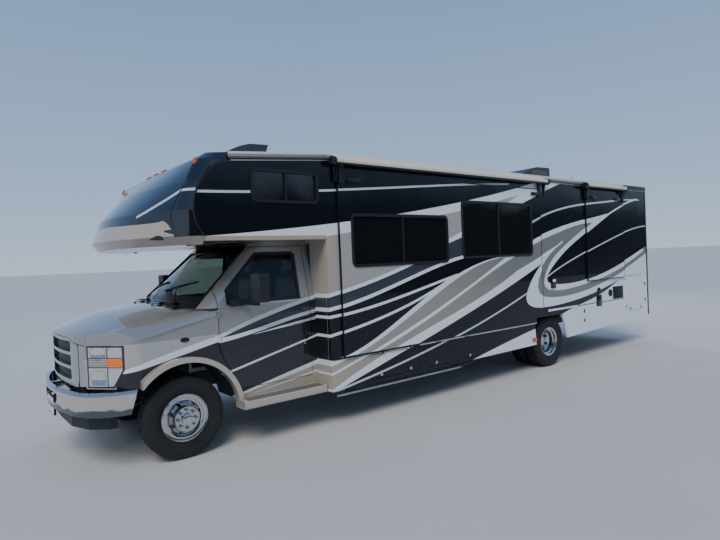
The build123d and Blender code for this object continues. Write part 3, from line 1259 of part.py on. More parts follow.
def tail_lamps():
    """Red lamps on the rear corners and the clearance lamps."""
    lamp = rounded_block(REAR_X - 14, REAR_X, HALF_WIDTH - 182, HALF_WIDTH - 62, REAR_SKIRT_BOTTOM + 60,
                         REAR_SKIRT_BOTTOM + 260, 20, Axis.X)
    lamps = [lamp, flipped(lamp)]
    corner_y = HALF_WIDTH - 112
    high = ROOF_EDGE_Z - 100
    for y in (-corner_y, -150, 0, 150, corner_y):
        lamps.append(rounded_block(REAR_X - 12, REAR_X, y - 45, y + 45, high - 30, high, 8, Axis.X))
    return group(lamps)


def build():
    """Every node by name."""
    pieces = {}
    tyre_left, rim_left = front_wheel()
    rear_tyres, rear_rims = rear_wheels()
    shell, hood_piece, door, windshield, door_glass = cab_parts()
    left_knuckle = knuckle()
    pieces["chassis_frame"] = chassis_frame()
    pieces["front_axle"] = front_axle()
    pieces["knuckle_left"] = left_knuckle
    pieces["knuckle_right"] = flipped(left_knuckle)
    pieces["tyre_front_left"] = tyre_left
    pieces["tyre_front_right"] = flipped(tyre_left)
    pieces["rim_front_left"] = rim_left
    pieces["rim_front_right"] = flipped(rim_left)
    pieces["tyres_rear_left"] = rear_tyres
    pieces["tyres_rear_right"] = flipped(rear_tyres)
    pieces["rims_rear_left"] = rear_rims
    pieces["rims_rear_right"] = flipped(rear_rims)
    pieces["rear_axle"] = rear_axle()
    pieces["engine"] = engine()
    pieces["underbody_tanks"] = underbody_tanks()
    pieces["exhaust"] = exhaust()
    pieces["cab_shell"] = shell
    pieces["hood"] = hood_piece
    pieces["cab_door_left"] = door
    pieces["cab_door_right"] = flipped(door)
    pieces["windshield"] = windshield
    pieces["door_glass_left"] = door_glass
    pieces["door_glass_right"] = flipped(door_glass)
    pieces["grille"] = grille()
    pieces["headlamps"] = both(headlamp())
    pieces["front_bumper"] = front_bumper()
    pieces["liners_valance"] = group([front_valance(), wheel_liners()])
    pieces["flares"] = both(flare())
    pieces["mirror_left"] = mirror_arm()
    pieces["mirror_right"] = flipped(mirror_arm())
    pieces["dashboard"] = dashboard()
    pieces["cab_seats"] = group([seat(500), seat(-500)])
    pieces["coach_floor"] = coach_floor()
    pieces["wall_left"] = left_wall()
    right_wall = flipped(side_wall(-1))
    door_piece, door_fixed = entry_door()
    for fixed in door_fixed:
        right_wall += flipped(fixed)
    pieces["wall_right"] = right_wall
    pieces["wall_rear"] = rear_wall()
    pieces["front_cap"] = front_cap()
    pieces["cab_surround"] = cab_surround()
    pieces["roof"] = roof()
    pieces["skirts"] = group([skirt(1), flipped(skirt(-1))])
    pieces["storage_tubs"] = storage_tubs()
    for name, side, x_front, x_rear, bottom, top in HATCHES:
        pieces[name] = hatch_set(side, x_front, x_rear, bottom, top)[0]
    pieces["entry_door"] = flipped(door_piece)
    pieces["entry_step"] = entry_step()
    windows = []
    for name, side, x_front, x_rear, z0, z1 in WINDOWS:
        window = window_set(x_front, x_rear, z0, z1, HALF_WIDTH, WALL - 5)
        windows.append(window if side > 0 else flipped(window))
    pieces["coach_windows"] = group(windows)
    pieces["slide_main"] = slide_room(MAIN_ROOM)
    fascia_y = HALF_WIDTH + SEAL_GAP + FASCIA_THICK
    pieces["slide_main_windows"] = group([window_set(*row, fascia_y, SLIDE_WALL) for row in slide_windows()])
    pieces["topper_main"] = topper(MAIN_ROOM, 120, 183, ROOF_EDGE_Z - 85)
    pieces["slide_rear"] = slide_room(REAR_ROOM)
    pieces["topper_rear"] = topper(REAR_ROOM, 105, 100, ROOF_EDGE_Z - 75)
    pieces["awning"] = awning()
    pieces["roof_units"] = roof_units()
    pieces["ladder"] = ladder()
    pieces["rear_bumper"] = rear_bumper()
    pieces["tail_lamps"] = tail_lamps()
    return pieces


os.makedirs("parts", exist_ok=True)
for node, shape in build().items():
    export_step(Pos(SHIFT_X, 0, 0) * shape, f"parts/{node}.step")
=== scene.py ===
from math import cos, pi, radians, sin

import bmesh
import bpy
from mathutils import Matrix, Vector
from mathutils.bvhtree import BVHTree


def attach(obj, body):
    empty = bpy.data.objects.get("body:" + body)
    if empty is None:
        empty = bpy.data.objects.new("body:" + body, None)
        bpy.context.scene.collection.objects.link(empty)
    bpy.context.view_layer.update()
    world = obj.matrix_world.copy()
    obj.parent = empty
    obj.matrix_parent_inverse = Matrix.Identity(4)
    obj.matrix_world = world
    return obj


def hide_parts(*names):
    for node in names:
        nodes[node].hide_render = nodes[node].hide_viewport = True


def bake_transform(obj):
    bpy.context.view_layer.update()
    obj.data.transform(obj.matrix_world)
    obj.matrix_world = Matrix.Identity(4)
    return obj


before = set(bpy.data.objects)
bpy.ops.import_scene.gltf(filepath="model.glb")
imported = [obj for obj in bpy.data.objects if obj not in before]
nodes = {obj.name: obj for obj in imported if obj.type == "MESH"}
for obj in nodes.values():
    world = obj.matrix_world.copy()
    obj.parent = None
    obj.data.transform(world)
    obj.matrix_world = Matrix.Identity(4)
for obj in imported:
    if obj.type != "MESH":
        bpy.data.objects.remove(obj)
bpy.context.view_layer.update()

# Sizes are in metres, in the row frame, but with X read from the front axle
AXLE_X = 4.055
AXLE_Z = 0.385
HALF_WIDTH = 1.262  # to the coach's side wall
FASCIA_Y = 1.289  # to the slide-out rooms' face
SIDES = (1, "left"), (-1, "right")


def at(x, y, z):
    """A point given from the front axle, in the row frame."""
    return Vector((x + AXLE_X, y, z))


# Finishes

def math_node(operation, swapped=False, clamp=False):
    """A method that joins a value to another one by a Math node."""
    def method(self, other=0.0):
        pair = (other, self) if swapped else (self, other)
        return self.finish.node("Math", dict(enumerate(pair)), operation=operation, use_clamp=clamp)
    return method


class Value:
    """A number that changes over a surface. Arithmetic on it adds Math nodes."""

    __add__ = __radd__ = math_node("ADD")
    __sub__ = math_node("SUBTRACT")
    __rsub__ = math_node("SUBTRACT", swapped=True)
    __mul__ = __rmul__ = math_node("MULTIPLY")
    __pow__ = math_node("POWER")
    __gt__ = math_node("GREATER_THAN")
    __lt__ = math_node("LESS_THAN")
    __abs__ = math_node("ABSOLUTE")
    lesser = math_node("MINIMUM")
    greater = math_node("MAXIMUM")
    clamped = math_node("ADD", clamp=True)

    def __init__(self, finish, socket):
        self.finish = finish
        self.socket = socket


class Finish:
    """A material under construction."""

    def __init__(self, name):
        self.material = bpy.data.materials.new(name)
        self.material.use_nodes = True
        self.tree = self.material.node_tree
        self.shader = self.tree.nodes["Principled BSDF"]
        self.place = self.node("TexCoord", output="Object")

    def node(self, kind, sockets=None, output=0, **settings):
        made = self.tree.nodes.new("ShaderNode" + kind)
        for name, value in settings.items():
            setattr(made, name, value)
        for name, value in (sockets or {}).items():
            self.feed(made.inputs[name], value)
        return Value(self, made.outputs[output])

    def feed(self, socket, value):
        if isinstance(value, Value):
            self.tree.links.new(value.socket, socket)
        else:
            socket.default_value = (*value, 1) if socket.type == "RGBA" else value

    def split(self):
        """The three coordinates, with X counted from the front axle."""
        apart = self.tree.nodes.new("ShaderNodeSeparateXYZ")
        self.tree.links.new(self.place.socket, apart.inputs[0])
        x, y, z = (Value(self, out) for out in apart.outputs)
        return x - AXLE_X, y, z

    def mix(self, base, colour, mask):
        return self.node("Mix", {0: mask, 6: base, 7: colour}, 2, data_type="RGBA")

    def noise(self, scale, detail=2.0, roughness=0.5, where=None):
        return self.node("TexNoise", {"Vector": where or self.place, "Scale": scale, "Detail": detail,
                                      "Roughness": roughness})

    def wave(self, scale, direction="X", distortion=0.0):
        return self.node("TexWave", {"Vector": self.place, "Scale": scale, "Distortion": distortion},
                         bands_direction=direction)

    def cells(self, scale):
        return self.node("TexVoronoi", {"Vector": self.place, "Scale": scale})

    def stretched(self, *scale):
        """The place with its axes scaled apart, for brushed and woven looks."""
        return self.node("Mapping", {"Vector": self.place, "Scale": scale})

    def bump(self, height, strength, distance=0.001):
        made = self.node("Bump", {"Height": height, "Strength": strength, "Distance": distance})
        self.feed(self.shader.inputs["Normal"], made)
        return self

    def grain(self, scale, detail, strength, distance=0.001):
        """Bumps of plain noise."""
        return self.bump(self.noise(scale, detail), strength, distance)

    def part(self, mask, colour, roughness):
        """A second, plain look where the mask is one."""
        plain = self.tree.nodes.new("ShaderNodeBsdfPrincipled")
        self.feed(plain.inputs["Base Color"], colour)
        self.feed(plain.inputs["Roughness"], roughness)
        both = self.node("MixShader", {0: mask, 1: Value(self, self.shader.outputs[0]),
                                       2: Value(self, plain.outputs[0])})
        self.feed(self.tree.nodes["Material Output"].inputs["Surface"], both)
        return self

    def gloss(self, level):
        """How strongly the base below the clear coat mirrors."""
        self.shader.inputs["Specular IOR Level"].default_value = level

    def set(self, **sockets):
        for name, value in sockets.items():
            self.feed(self.shader.inputs[name.replace("_", " ").title()], value)
        return self

    def on(self, names):
        """Puts the finish on some CAD nodes."""
        for name in names.split():
            for slot in nodes[name].material_slots:
                slot.material = self.material
        return self

    def lacquer(self, colour, coat, coat_roughness, peel, depth=0.02):
        """A clear coat over the colour, with its slight orange peel."""
        self.set(base_color=colour, coat_weight=coat, coat_roughness=coat_roughness)
        return self.grain(peel, 1.0, depth)


def dimmed(colour, share):
    return tuple(part * share for part in colour)


FILM_SPREAD = 0.12


def wear(finish, roughness):
    """Uneven gloss from road film, stronger low down. Gives back the film."""
    low = ((1.1 - finish.split()[2]) * 0.9).clamped()
    film = finish.noise(3.0, 5.0, 0.6)
    finish.set(roughness=(film * (low * FILM_SPREAD + FILM_SPREAD * 0.35) + roughness).clamped())
    return film * low


def painted(name, colour, roughness, metallic=0.0, coat=1.0):
    """Car paint of one colour under road film."""
    finish = Finish(name).set(metallic=metallic)
    film = wear(finish, roughness)
    return finish.lacquer(finish.mix(colour, (0.32, 0.29, 0.24), film * 0.22), coat, 0.04, 90.0, 0.03)


def patchy(name, colour, second, patches, share, spread, roughness):
    """One colour with patches of a second one, which are also rougher."""
    finish = Finish(name)
    patch = finish.noise(*patches)
    return finish.set(base_color=finish.mix(colour, second, patch * share),
                      roughness=patch * spread + roughness)


def plastic(name, colour, roughness=0.5, grain=900.0, depth=0.25):
    """Moulded plastic with a fine grain."""
    pale = tuple(min(1, part * 1.6 + 0.015) for part in colour)
    finish = patchy(name, colour, pale, (6.0, 3.0), 0.5, 0.18, roughness - 0.09)
    return finish.grain(grain, 2.0, depth, 0.0004)


def bumper_finish(name):
    """Bright plate with painted reflections: warm cream in front for the ground it mirrors, a dark band along
    its lower edge and a blue top edge for the sky.
    """
    finish = Finish(name)
    z = finish.split()[2]
    edge = finish.noise(5.0) * 0.09
    # painted reflection: the cream face turns dark along the lower edge, as if mirroring shaded ground
    colour = finish.mix((0.80, 0.74, 0.62), (0.16, 0.17, 0.18), ((0.532 + edge - z) * 60.0).clamped())
    # painted reflection: a blue band of sky along the top edge
    colour = finish.mix(colour, (0.30, 0.40, 0.55), ((z - 0.695) * 90.0).clamped())
    return finish.set(base_color=colour, metallic=1.0, roughness=0.08)


def metal(name, colour, roughness, stretch=(1, 1, 1), depth=0.05):
    """Bare or plated metal with faint working marks."""
    finish = Finish(name)
    marks = finish.noise(160.0, 3.0, 0.6, finish.stretched(*stretch))
    finish.set(base_color=finish.mix(colour, dimmed(colour, 0.72), finish.noise(9.0, 4.0) * 0.5),
               metallic=1.0, roughness=marks * 0.12 + roughness)
    return finish.bump(marks, depth, 0.0003)


# Stripes. A boundary is a few points in X and Z that a curve passes through

def through(points, x):
    """The height of a smooth curve through the points, as Newton's nested form."""
    table = [z for _, z in points]
    steps = []
    for order in range(len(points)):
        steps.append(table[0])
        table = [(table[i + 1] - table[i]) / (points[i + order + 1][0] - points[i][0])
                 for i in range(len(table) - 1)]
    height = steps[-1]
    for index in range(len(points) - 2, -1, -1):
        height = (x - points[index][0]) * height + steps[index]
    return height


BLACK = (0.006, 0.0075, 0.011)
SLATE = (0.045, 0.052, 0.065)
WHITE = (0.72, 0.74, 0.77)
LINE = (0.55, 0.57, 0.60)
# Symbolic paints of tan fields; coach_paint fades them from tan to grey rearwards as painted shade
TAUPE = "taupe"
STONE = "stone"
TAN = (0.40, 0.34, 0.265)
GREY = (0.19, 0.192, 0.185)
SILVER = (0.40, 0.395, 0.37)
INSIDE = (0.50, 0.46, 0.39)
SEAL = (0.012, 0.012, 0.012)
FRAME = (0.012, 0.012, 0.013)
CASTING_AND_SHADE = (0.010, 0.010, 0.011)
FILM = (0.30, 0.28, 0.24)
CLOTH = (0.72, 0.67, 0.56)

UPPER_WEDGE = [(-1.486, 2.178), (-2.55, 2.31), (-3.6, 2.477), (-5.2, 2.80)]
GREY_TOP = [(-4.75, 1.745), (-5.167, 1.893), (-5.586, 2.002), (-6.294, 2.163), (-6.92, 2.239)]
FOOT = [(-1.0, 1.0), (1.0, 1.0)]

# Rows: colour, front x, rear x, lower boundary, upper boundary. A row with half a width in place of
# the lower boundary is a line along the other one
COACH_FRONT = [
    (WHITE, -0.12, -1.49, [(-1.486, 2.0), (0.0, 2.0)], [(-0.15, 2.062), (-0.8, 2.112), (-1.486, 2.178)]),
    (WHITE, -1.30, -6.25, [(-2.2, 1.55), (-3.35, 1.923), (-5.0, 2.517), (-6.17, 2.893)], UPPER_WEDGE),
    (WHITE, -1.30, -2.6, [(-1.486, 1.42), (-2.6, 1.69)], UPPER_WEDGE),
    (STONE, -1.30, -2.9, [(-1.486, 1.42), (-2.233, 1.585), (-2.9, 1.80)],
     [(-1.486, 2.05), (-2.4, 2.18), (-3.6, 2.367), (-4.9, 2.63)]),
    (STONE, -2.9, -4.9, [(-2.9, 1.84), (-3.617, 2.10), (-4.9, 2.63)],
     [(-1.486, 2.06), (-2.4, 2.18), (-3.6, 2.367), (-4.9, 2.63)]),
    (SLATE, -1.30, -3.9, [(-1.486, 1.27), (-2.233, 1.425), (-2.9, 1.608), (-3.617, 1.80)],
     [(-1.486, 1.42), (-2.233, 1.585), (-2.9, 1.80), (-3.617, 2.023)]),
    (WHITE, -1.30, -3.3, 0.021, [(-1.486, 1.42), (-2.233, 1.585), (-2.9, 1.78)]),
    (WHITE, -1.30, -3.75, 0.021, [(-1.486, 1.27), (-2.233, 1.425), (-2.9, 1.608), (-3.617, 1.767)]),
    (WHITE, -1.30, -3.5, 0.016, [(-1.486, 1.19), (-2.233, 1.285), (-2.9, 1.417), (-3.45, 1.53)]),
    (WHITE, -1.30, -3.35, 0.016, [(-1.486, 0.99), (-2.233, 1.13), (-2.9, 1.317), (-3.35, 1.49)]),
    (WHITE, -1.30, -6.03, [(-1.486, 0.383), (-2.73, 0.743), (-4.4, 1.257), (-5.37, 1.60)],
     [(-1.486, 0.727), (-2.233, 0.965), (-3.4, 1.51), (-4.17, 1.717), (-6.03, 1.95)]),
    (TAUPE, -1.30, -4.9, [(-1.486, 0.593), (-2.233, 0.823), (-3.4, 1.25), (-4.4, 1.677)],
     [(-1.486, 0.667), (-2.233, 0.912), (-3.4, 1.455), (-4.17, 1.70)]),
    (TAUPE, -1.30, -4.75, [(-1.486, 0.417), (-2.233, 0.70), (-3.4, 1.05), (-4.75, 1.52)],
     [(-1.486, 0.567), (-2.233, 0.783), (-3.4, 1.21), (-4.4, 1.62), (-4.75, 1.74)]),
    (GREY, -4.74, -6.10, [(-4.75, 1.525), (-5.27, 1.685), (-5.694, 1.822), (-6.07, 1.942)], GREY_TOP),
    (LINE, -1.30, -5.0, 0.012, [(-1.486, 0.39), (-2.73, 0.60), (-3.9, 0.867), (-4.967, 1.183)]),
    (LINE, 0.1, -4.7, 0.012, [(0.067, 2.463), (-1.417, 2.53), (-2.73, 2.633), (-4.4, 2.757)]),
    (WHITE, -3.77, -5.5, [(-3.77, 0.2), (-5.5, 0.2)], [(-3.77, 0.40), (-4.4, 0.515), (-5.23, 0.65)]),
]
SURROUND_ROWS = COACH_FRONT[3:4] + COACH_FRONT[5:13]

# Loops: colour, front x, then the lower and the upper branch
OUTER_LOOPS = [
    (WHITE, -4.98,
     [(-4.98, 1.133), (-5.17, 0.975), (-5.6, 0.945), (-6.5, 1.0), (-7.5, 1.16), (-9.0, 1.60)],
     [(-4.98, 1.133), (-5.2, 1.45), (-5.57, 1.715), (-6.07, 1.97), (-6.87, 2.28), (-7.5, 2.41)]),
    (GREY, -5.283,
     [(-5.283, 1.283), (-5.43, 1.12), (-5.8, 1.075), (-6.5, 1.1), (-7.5, 1.267), (-9.0, 1.70)],
     [(-5.283, 1.283), (-5.411, 1.524), (-5.664, 1.741), (-6.042, 1.921), (-7.4, 2.20)]),
]
# where the second loop runs into the grey field above it
LOOP_JOIN = [(GREY, -6.04, -6.95, [(-6.04, 1.90), (-6.95, 1.90)], GREY_TOP)]
INNER_LOOPS = [
    (WHITE, -5.493,
     [(-5.493, 1.33), (-5.62, 1.205), (-6.0, 1.177), (-6.6, 1.22), (-7.5, 1.36), (-9.0, 1.79)],
     [(-5.493, 1.33), (-5.602, 1.537), (-5.93, 1.789), (-6.364, 1.996), (-6.92, 2.235), (-7.5, 2.405)]),
    (BLACK, -5.57,
     [(-5.57, 1.36), (-5.68, 1.297), (-6.0, 1.267), (-6.6, 1.29), (-7.5, 1.433), (-9.0, 1.83)],
     [(-5.57, 1.36), (-5.726, 1.546), (-6.057, 1.757), (-6.484, 1.962), (-7.022, 2.185), (-7.5, 2.383),
      (-8.53, 2.69)]),
]

COACH_REAR = [
    (WHITE, -5.7, -9.1, [(-5.8, -1.0), (-9.0, -1.0)],
     [(-5.867, 0.767), (-6.8, 0.95), (-7.5, 1.117), (-7.967, 1.29), (-9.0, 1.70)]),
    (WHITE, -4.95, -7.55, [(-4.9, 1.42), (-5.5, 1.70), (-7.6, 2.40)],
     [(-5.167, 1.96), (-5.73, 2.117), (-6.7, 2.293), (-7.5, 2.41)]),
]
REAR_LINES = [
    (BLACK, -7.45, -9.1, [(-7.5, 2.385), (-7.98, 2.55), (-8.53, 2.69)], [(-7.5, 3.0), (-9.0, 3.0)]),
    (LINE, -5.12, -7.97, 0.015, [(-5.167, 2.223), (-6.0, 2.45), (-6.73, 2.55), (-7.97, 2.667)]),
    (LINE, -7.9, -8.72, 0.013, [(-7.97, 2.667), (-8.72, 2.69)]),
    (WHITE, -7.3, -8.6, 0.016, [(-7.5, 2.40), (-7.98, 2.555), (-8.6, 2.70)]),
    (LINE, -5.57, -9.1, 0.012, [(-5.57, 1.40), (-6.7, 1.75), (-7.5, 1.95), (-8.53, 2.16), (-9.0, 2.20)]),
]

CAP_ROWS = [
    (LINE, 0.0, -0.62, 0.012, [(0.0, 2.484), (-0.607, 2.495)]),
    (LINE, 0.275, 0.0, 0.010, [(0.265, 2.279), (0.181, 2.341), (0.123, 2.384), (0.0, 2.484)]),
    (TAN, 1.2, -1.0, FOOT, [(-1.0, 2.064), (1.2, 2.064)]),
    (TAN, 1.2, 0.16, FOOT, [(0.48, 2.225), (0.25, 2.20), (0.16, 2.205)]),
    (TAN, 0.161, 0.085, FOOT, [(0.16, 2.205), (0.12, 2.19), (0.085, 2.085)]),
    (BLACK, 0.225, 0.135, [(0.225, 2.048), (0.135, 2.040)], [(0.225, 2.050), (0.18, 2.084), (0.135, 2.046)]),
    (BLACK, 0.14, 0.04, [(0.14, 2.112), (0.085, 2.085), (0.04, 2.066)], [(0.14, 2.125), (0.04, 2.14)]),
]

CAB_ROWS = [
    (BLACK, 0.56, -1.6, [(-1.6, 0.2), (0.5, 0.2)],
     [(0.55, 0.868), (0.1, 0.975), (-0.37, 1.08), (-1.0, 1.30), (-1.49, 1.41)]),
    (SLATE, -0.40, -1.6, [(-0.38, 1.09), (-1.0, 1.20), (-1.49, 1.27)],
     [(-0.37, 1.11), (-1.0, 1.30), (-1.49, 1.405)]),
    (WHITE, 0.56, -0.37, [(0.55, 0.866), (0.1, 0.956), (-0.1, 1.0), (-0.38, 1.06)],
     [(0.55, 0.89), (0.1, 1.016), (-0.1, 1.06), (-0.38, 1.125)]),
    (WHITE, -0.35, -1.6, [(-0.36, 1.085), (-1.0, 1.276), (-1.49, 1.385)],
     [(-0.36, 1.12), (-1.0, 1.32), (-1.49, 1.424)]),
    (WHITE, -0.35, -1.6, [(-0.36, 1.04), (-0.7, 1.09), (-1.1, 1.17), (-1.49, 1.235)],
     [(-0.36, 1.085), (-0.7, 1.13), (-1.1, 1.21), (-1.49, 1.27)]),
    (WHITE, -0.72, -1.6, [(-0.72, 1.080), (-1.1, 1.118), (-1.49, 1.161)],
     [(-0.72, 1.081), (-1.1, 1.141), (-1.49, 1.189)]),
    (WHITE, -0.36, -1.6, 0.011, [(-0.4, 0.73), (-1.0, 0.87), (-1.49, 0.985)]),
    (TAN, -0.44, -1.6, [(-0.4, 0.2), (-1.6, 0.2)], [(-0.46, 0.49), (-1.0, 0.59), (-1.49, 0.69)]),
    (WHITE, -0.44, -1.6, [(-0.46, 0.475), (-1.0, 0.575), (-1.49, 0.665)],
     [(-0.46, 0.49), (-1.0, 0.61), (-1.49, 0.715)]),
    (WHITE, -0.65, -1.6, [(-0.65, 0.478), (-1.49, 0.586)], [(-0.65, 0.479), (-1.49, 0.606)]),
]


def paint_rows(finish, colour, rows, x, z, shades):
    """Paints the rows one over the other."""
    for paint, front_x, rear_x, low, high in rows:
        if isinstance(low, float):
            mask = abs(z - through(high, x)) < low
        else:
            mask = (z > through(low, x)) * (z < through(high, x))
        colour = finish.mix(colour, shades.get(paint, paint), mask * (x < front_x) * (x > rear_x))
    return colour


def paint_loops(finish, colour, rows, x, z):
    """Paints nested loops; near their round end the curves run in the root of the distance."""
    for paint, front_x, *branches in rows:
        root = (front_x - x).greater(0.0) ** 0.5
        low, high = (through([((front_x - px) ** 0.5, pz) for px, pz in points], root) for points in branches)
        colour = finish.mix(colour, paint, (z > low) * (z < high) * (x < front_x))
    return colour


END_X = -8.99  # where the end wall reads the stripes


def coach_paint(name, front=True, inner_y=1.215, room=None, fittings=None, end=False):
    """The coach's striped paint; what faces inwards is plain, and so is what lies outside a room's
    edges. The end wall carries the stripes on."""
    finish = Finish(name)
    x, y, z = finish.split()
    inward = abs(y) < inner_y
    if end:
        inward = x > (END_X + 0.02)
        x = x * 0.0 + END_X
    film = wear(finish, 0.20)
    # Painted shade: the tan of the taupe and stone fields fades to grey along the side wall, most towards the
    # rear, the same paint painted as if in shade
    rear_shade = ((-3.0 - x) * 0.57).clamped()
    shades = {TAUPE: finish.mix(TAN, finish.mix((0.29, 0.275, 0.235), GREY, rear_shade),
                                ((-1.45 - x) * 1.2).clamped()),
              STONE: finish.mix(TAN, (0.36, 0.35, 0.325), ((-1.45 - x) * 3.0).clamped())}
    colour = paint_rows(finish, BLACK, COACH_REAR, x, z, shades)
    if front:
        colour = paint_rows(finish, colour, COACH_FRONT, x, z, shades)
    colour = paint_loops(finish, colour, OUTER_LOOPS, x, z)
    colour = paint_rows(finish, colour, LOOP_JOIN, x, z, shades)
    colour = paint_loops(finish, colour, INNER_LOOPS, x, z)
    colour = paint_rows(finish, colour, REAR_LINES, x, z, shades)
    if room:
        front_x, rear_x, low_z, high_z = room
        outside = 1.0 - (x < front_x) * (x > rear_x) * (z > low_z) * (z < high_z)
        colour = finish.mix(colour, BLACK, outside)
    colour = finish.mix(finish.mix(colour, FILM, film * 0.06), INSIDE, inward)
    if fittings:
        colour = finish.mix(colour, fittings, abs(y) > (HALF_WIDTH + 0.0005))
    finish.gloss(0.10)
    return finish.lacquer(colour, 0.45, 0.03, 70.0, 0.025)


SCREEN_LEAN = 0.2187  # how the windshield's sides lean inwards


def cab_paint(name, cowl=False):
    """Silver above, black below, with the swoosh that starts at the headlamp. The shell's cowl is black."""
    finish = Finish(name)
    x, y, z = finish.split()
    film = wear(finish, 0.24)
    silver = finish.mix(SILVER, dimmed(SILVER, 0.8), finish.noise(600.0, 0.0) * 0.5)  # flakes
    outer = abs(y) > 0.84
    side = paint_rows(finish, silver, CAB_ROWS, x, z, {})
    colour = finish.mix(silver, side, outer * ((x < 0.5) + (z < 0.9)).clamped())
    if cowl:
        seal = (abs(y) < ((1.955 - z) * SCREEN_LEAN + 0.762)) * (z > 1.383) * (z < 1.99)
        colour = finish.mix(colour, SEAL, seal * (x > ((1.452 - z) * 1.15 - 0.33)))
    finish.gloss(0.3)
    bare = (z > 1.0) * (1.0 - outer * (z < 1.13))
    finish.set(metallic=bare * 0.6)
    return finish.lacquer(finish.mix(colour, FILM, film * 0.16), 1.0, 0.04, 80.0)


def cap_paint(name):
    """Black cap with its line, pewter nose and a black second seam."""
    finish = Finish(name)
    x, y, z = finish.split()
    film = wear(finish, 0.17)
    inside = (abs(y) < 1.21) * (x < -0.2) * (z < 2.72)
    colour = finish.mix(paint_rows(finish, BLACK, CAP_ROWS, x, z, {}), INSIDE, inside)
    return finish.lacquer(finish.mix(colour, FILM, film * 0.1), 1.0, 0.03, 60.0)


def surround_paint(name):
    """The strip wall beside the cab; it faces forward, so it reads the stripes at the side wall's front
    edge. Deck and upper strip are pewter."""
    finish = Finish(name)
    x, _, z = finish.split()
    film = wear(finish, 0.22)
    colour = paint_rows(finish, BLACK, SURROUND_ROWS, x * 0.0 - 1.486, z, {TAUPE: TAN, STONE: TAN})
    colour = finish.mix(finish.mix(colour, TAN, z > 1.445), INSIDE, x < -1.515)
    return finish.lacquer(finish.mix(colour, FILM, film * 0.16), 0.8, 0.05, 70.0)


def window_finish(name, pane_y):
    """Black frame, and behind it a pane of very dark glass."""
    finish = Finish(name)
    pane = abs(finish.split()[1]) < pane_y
    ripple = finish.noise(2.5)
    finish.set(base_color=finish.mix(FRAME, (0.006, 0.007, 0.008), pane),
               roughness=(1.0 - pane) * 0.3 + 0.04 + ripple * 0.03, coat_weight=pane, coat_roughness=0.02)
    return finish.grain(1.6, 1.0, 0.05, 0.004)


def glass_finish(name, tint):
    """Clear cab glass."""
    finish = Finish(name)
    smear = finish.noise(4.0, 3.0)
    finish.shader.inputs["IOR"].default_value = 1.3
    return finish.set(base_color=finish.mix(tint, dimmed(tint, 0.93), smear), roughness=smear * 0.02,
                      transmission_weight=1.0)


def windshield_finish(name):
    """Clear glass with its black printed border."""
    finish = glass_finish(name, (0.21, 0.26, 0.20))
    _, y, z = finish.split()
    side = abs(y) > ((1.452 - z) * SCREEN_LEAN + 0.812)
    return finish.part((side + (z < 1.49) + (z > 1.95)).clamped(), (0.008, 0.008, 0.008), 0.25)


def door_glass_finish(name):
    """Door glass in its black seal, with the black quarter that holds the mirror."""
    finish = glass_finish(name, (0.66, 0.76, 0.78))
    x, _, z = finish.split()
    lean = 0.966
    slope = (z + x * lean) > (1.545 - 0.452 * lean - 0.055)
    seal = ((x > -0.60) + (x < -1.272) + (z < 1.435) + (z > 1.882) + slope).clamped()
    return finish.part(seal, (0.010, 0.010, 0.010), 0.35)


ROLL_Y = FASCIA_Y + 0.040
ROLL_Z = 2.845
REAR_ROLL_RISE = 0.010


def rolled_finish(name):
    """Ivory cloth on the rolls, black cast brackets and end caps round them, and the rolls' undersides
    painted black as painted shade.
    """
    finish = cloth(name, CLOTH)
    x, y, z = finish.split()
    high = ROLL_Z + (x < -6.0) * REAR_ROLL_RISE
    away = ((y - ROLL_Y) ** 2 + (z - high) ** 2) ** 0.5
    # painted shade: below a line just under the roll's axis the cloth is painted black like the castings
    return finish.part(((away > 0.0408) + (z < (high - 0.016))).clamped(), CASTING_AND_SHADE, 0.35)


def rail_finish(name):
    """The roof rail: a pale upper line over greyer bands, black behind the rear room."""
    finish = Finish(name)
    x, _, z = finish.split()
    level = 2.932 - (x + 1.525).greater(0.0) * 0.0743
    colour = finish.mix((0.10, 0.09, 0.095), (0.24, 0.23, 0.225), z > (level - 0.046))
    colour = finish.mix(colour, (0.62, 0.59, 0.53), z > (level - 0.020))
    return finish.set(base_color=finish.mix(colour, FRAME, x < -8.09),
                      roughness=finish.noise(40.0, 3.0) * 0.2 + 0.35)


def roof_unit_finish(name):
    """Slate shrouds on the two coolers; the vents and pods are white."""
    finish = Finish(name)
    x, y, _ = finish.split()
    cooler = (abs(y) < 0.45) * ((x < -6.0) + (x > -1.45)).clamped()
    patch = finish.noise(5.0, 4.0)
    colour = finish.mix((0.62, 0.62, 0.60), (0.022, 0.028, 0.038), cooler)
    finish.set(base_color=finish.mix(colour, (0.25, 0.24, 0.22), patch * 0.12), roughness=patch * 0.2 + 0.32)
    return finish.grain(500.0, 2.0, 0.15, 0.0004)


def grille_finish(name):
    """Chrome bars in front of a dark mesh."""
    finish = Finish(name)
    x, y, _ = finish.split()
    behind = (x < (y * y * -0.18 + 0.836)) * (abs(y) < 0.452)
    slit = abs(abs(y) - 0.5625) < 0.0062
    behind = (behind + slit).clamped()
    finish.set(base_color=finish.mix((0.62, 0.60, 0.56), (0.01, 0.01, 0.01), behind), metallic=1.0 - behind,
               roughness=finish.noise(40.0, 3.0) * 0.08 + behind * 0.4 + 0.08)
    return finish.bump(finish.cells(110.0) * behind, 0.6, 0.004)


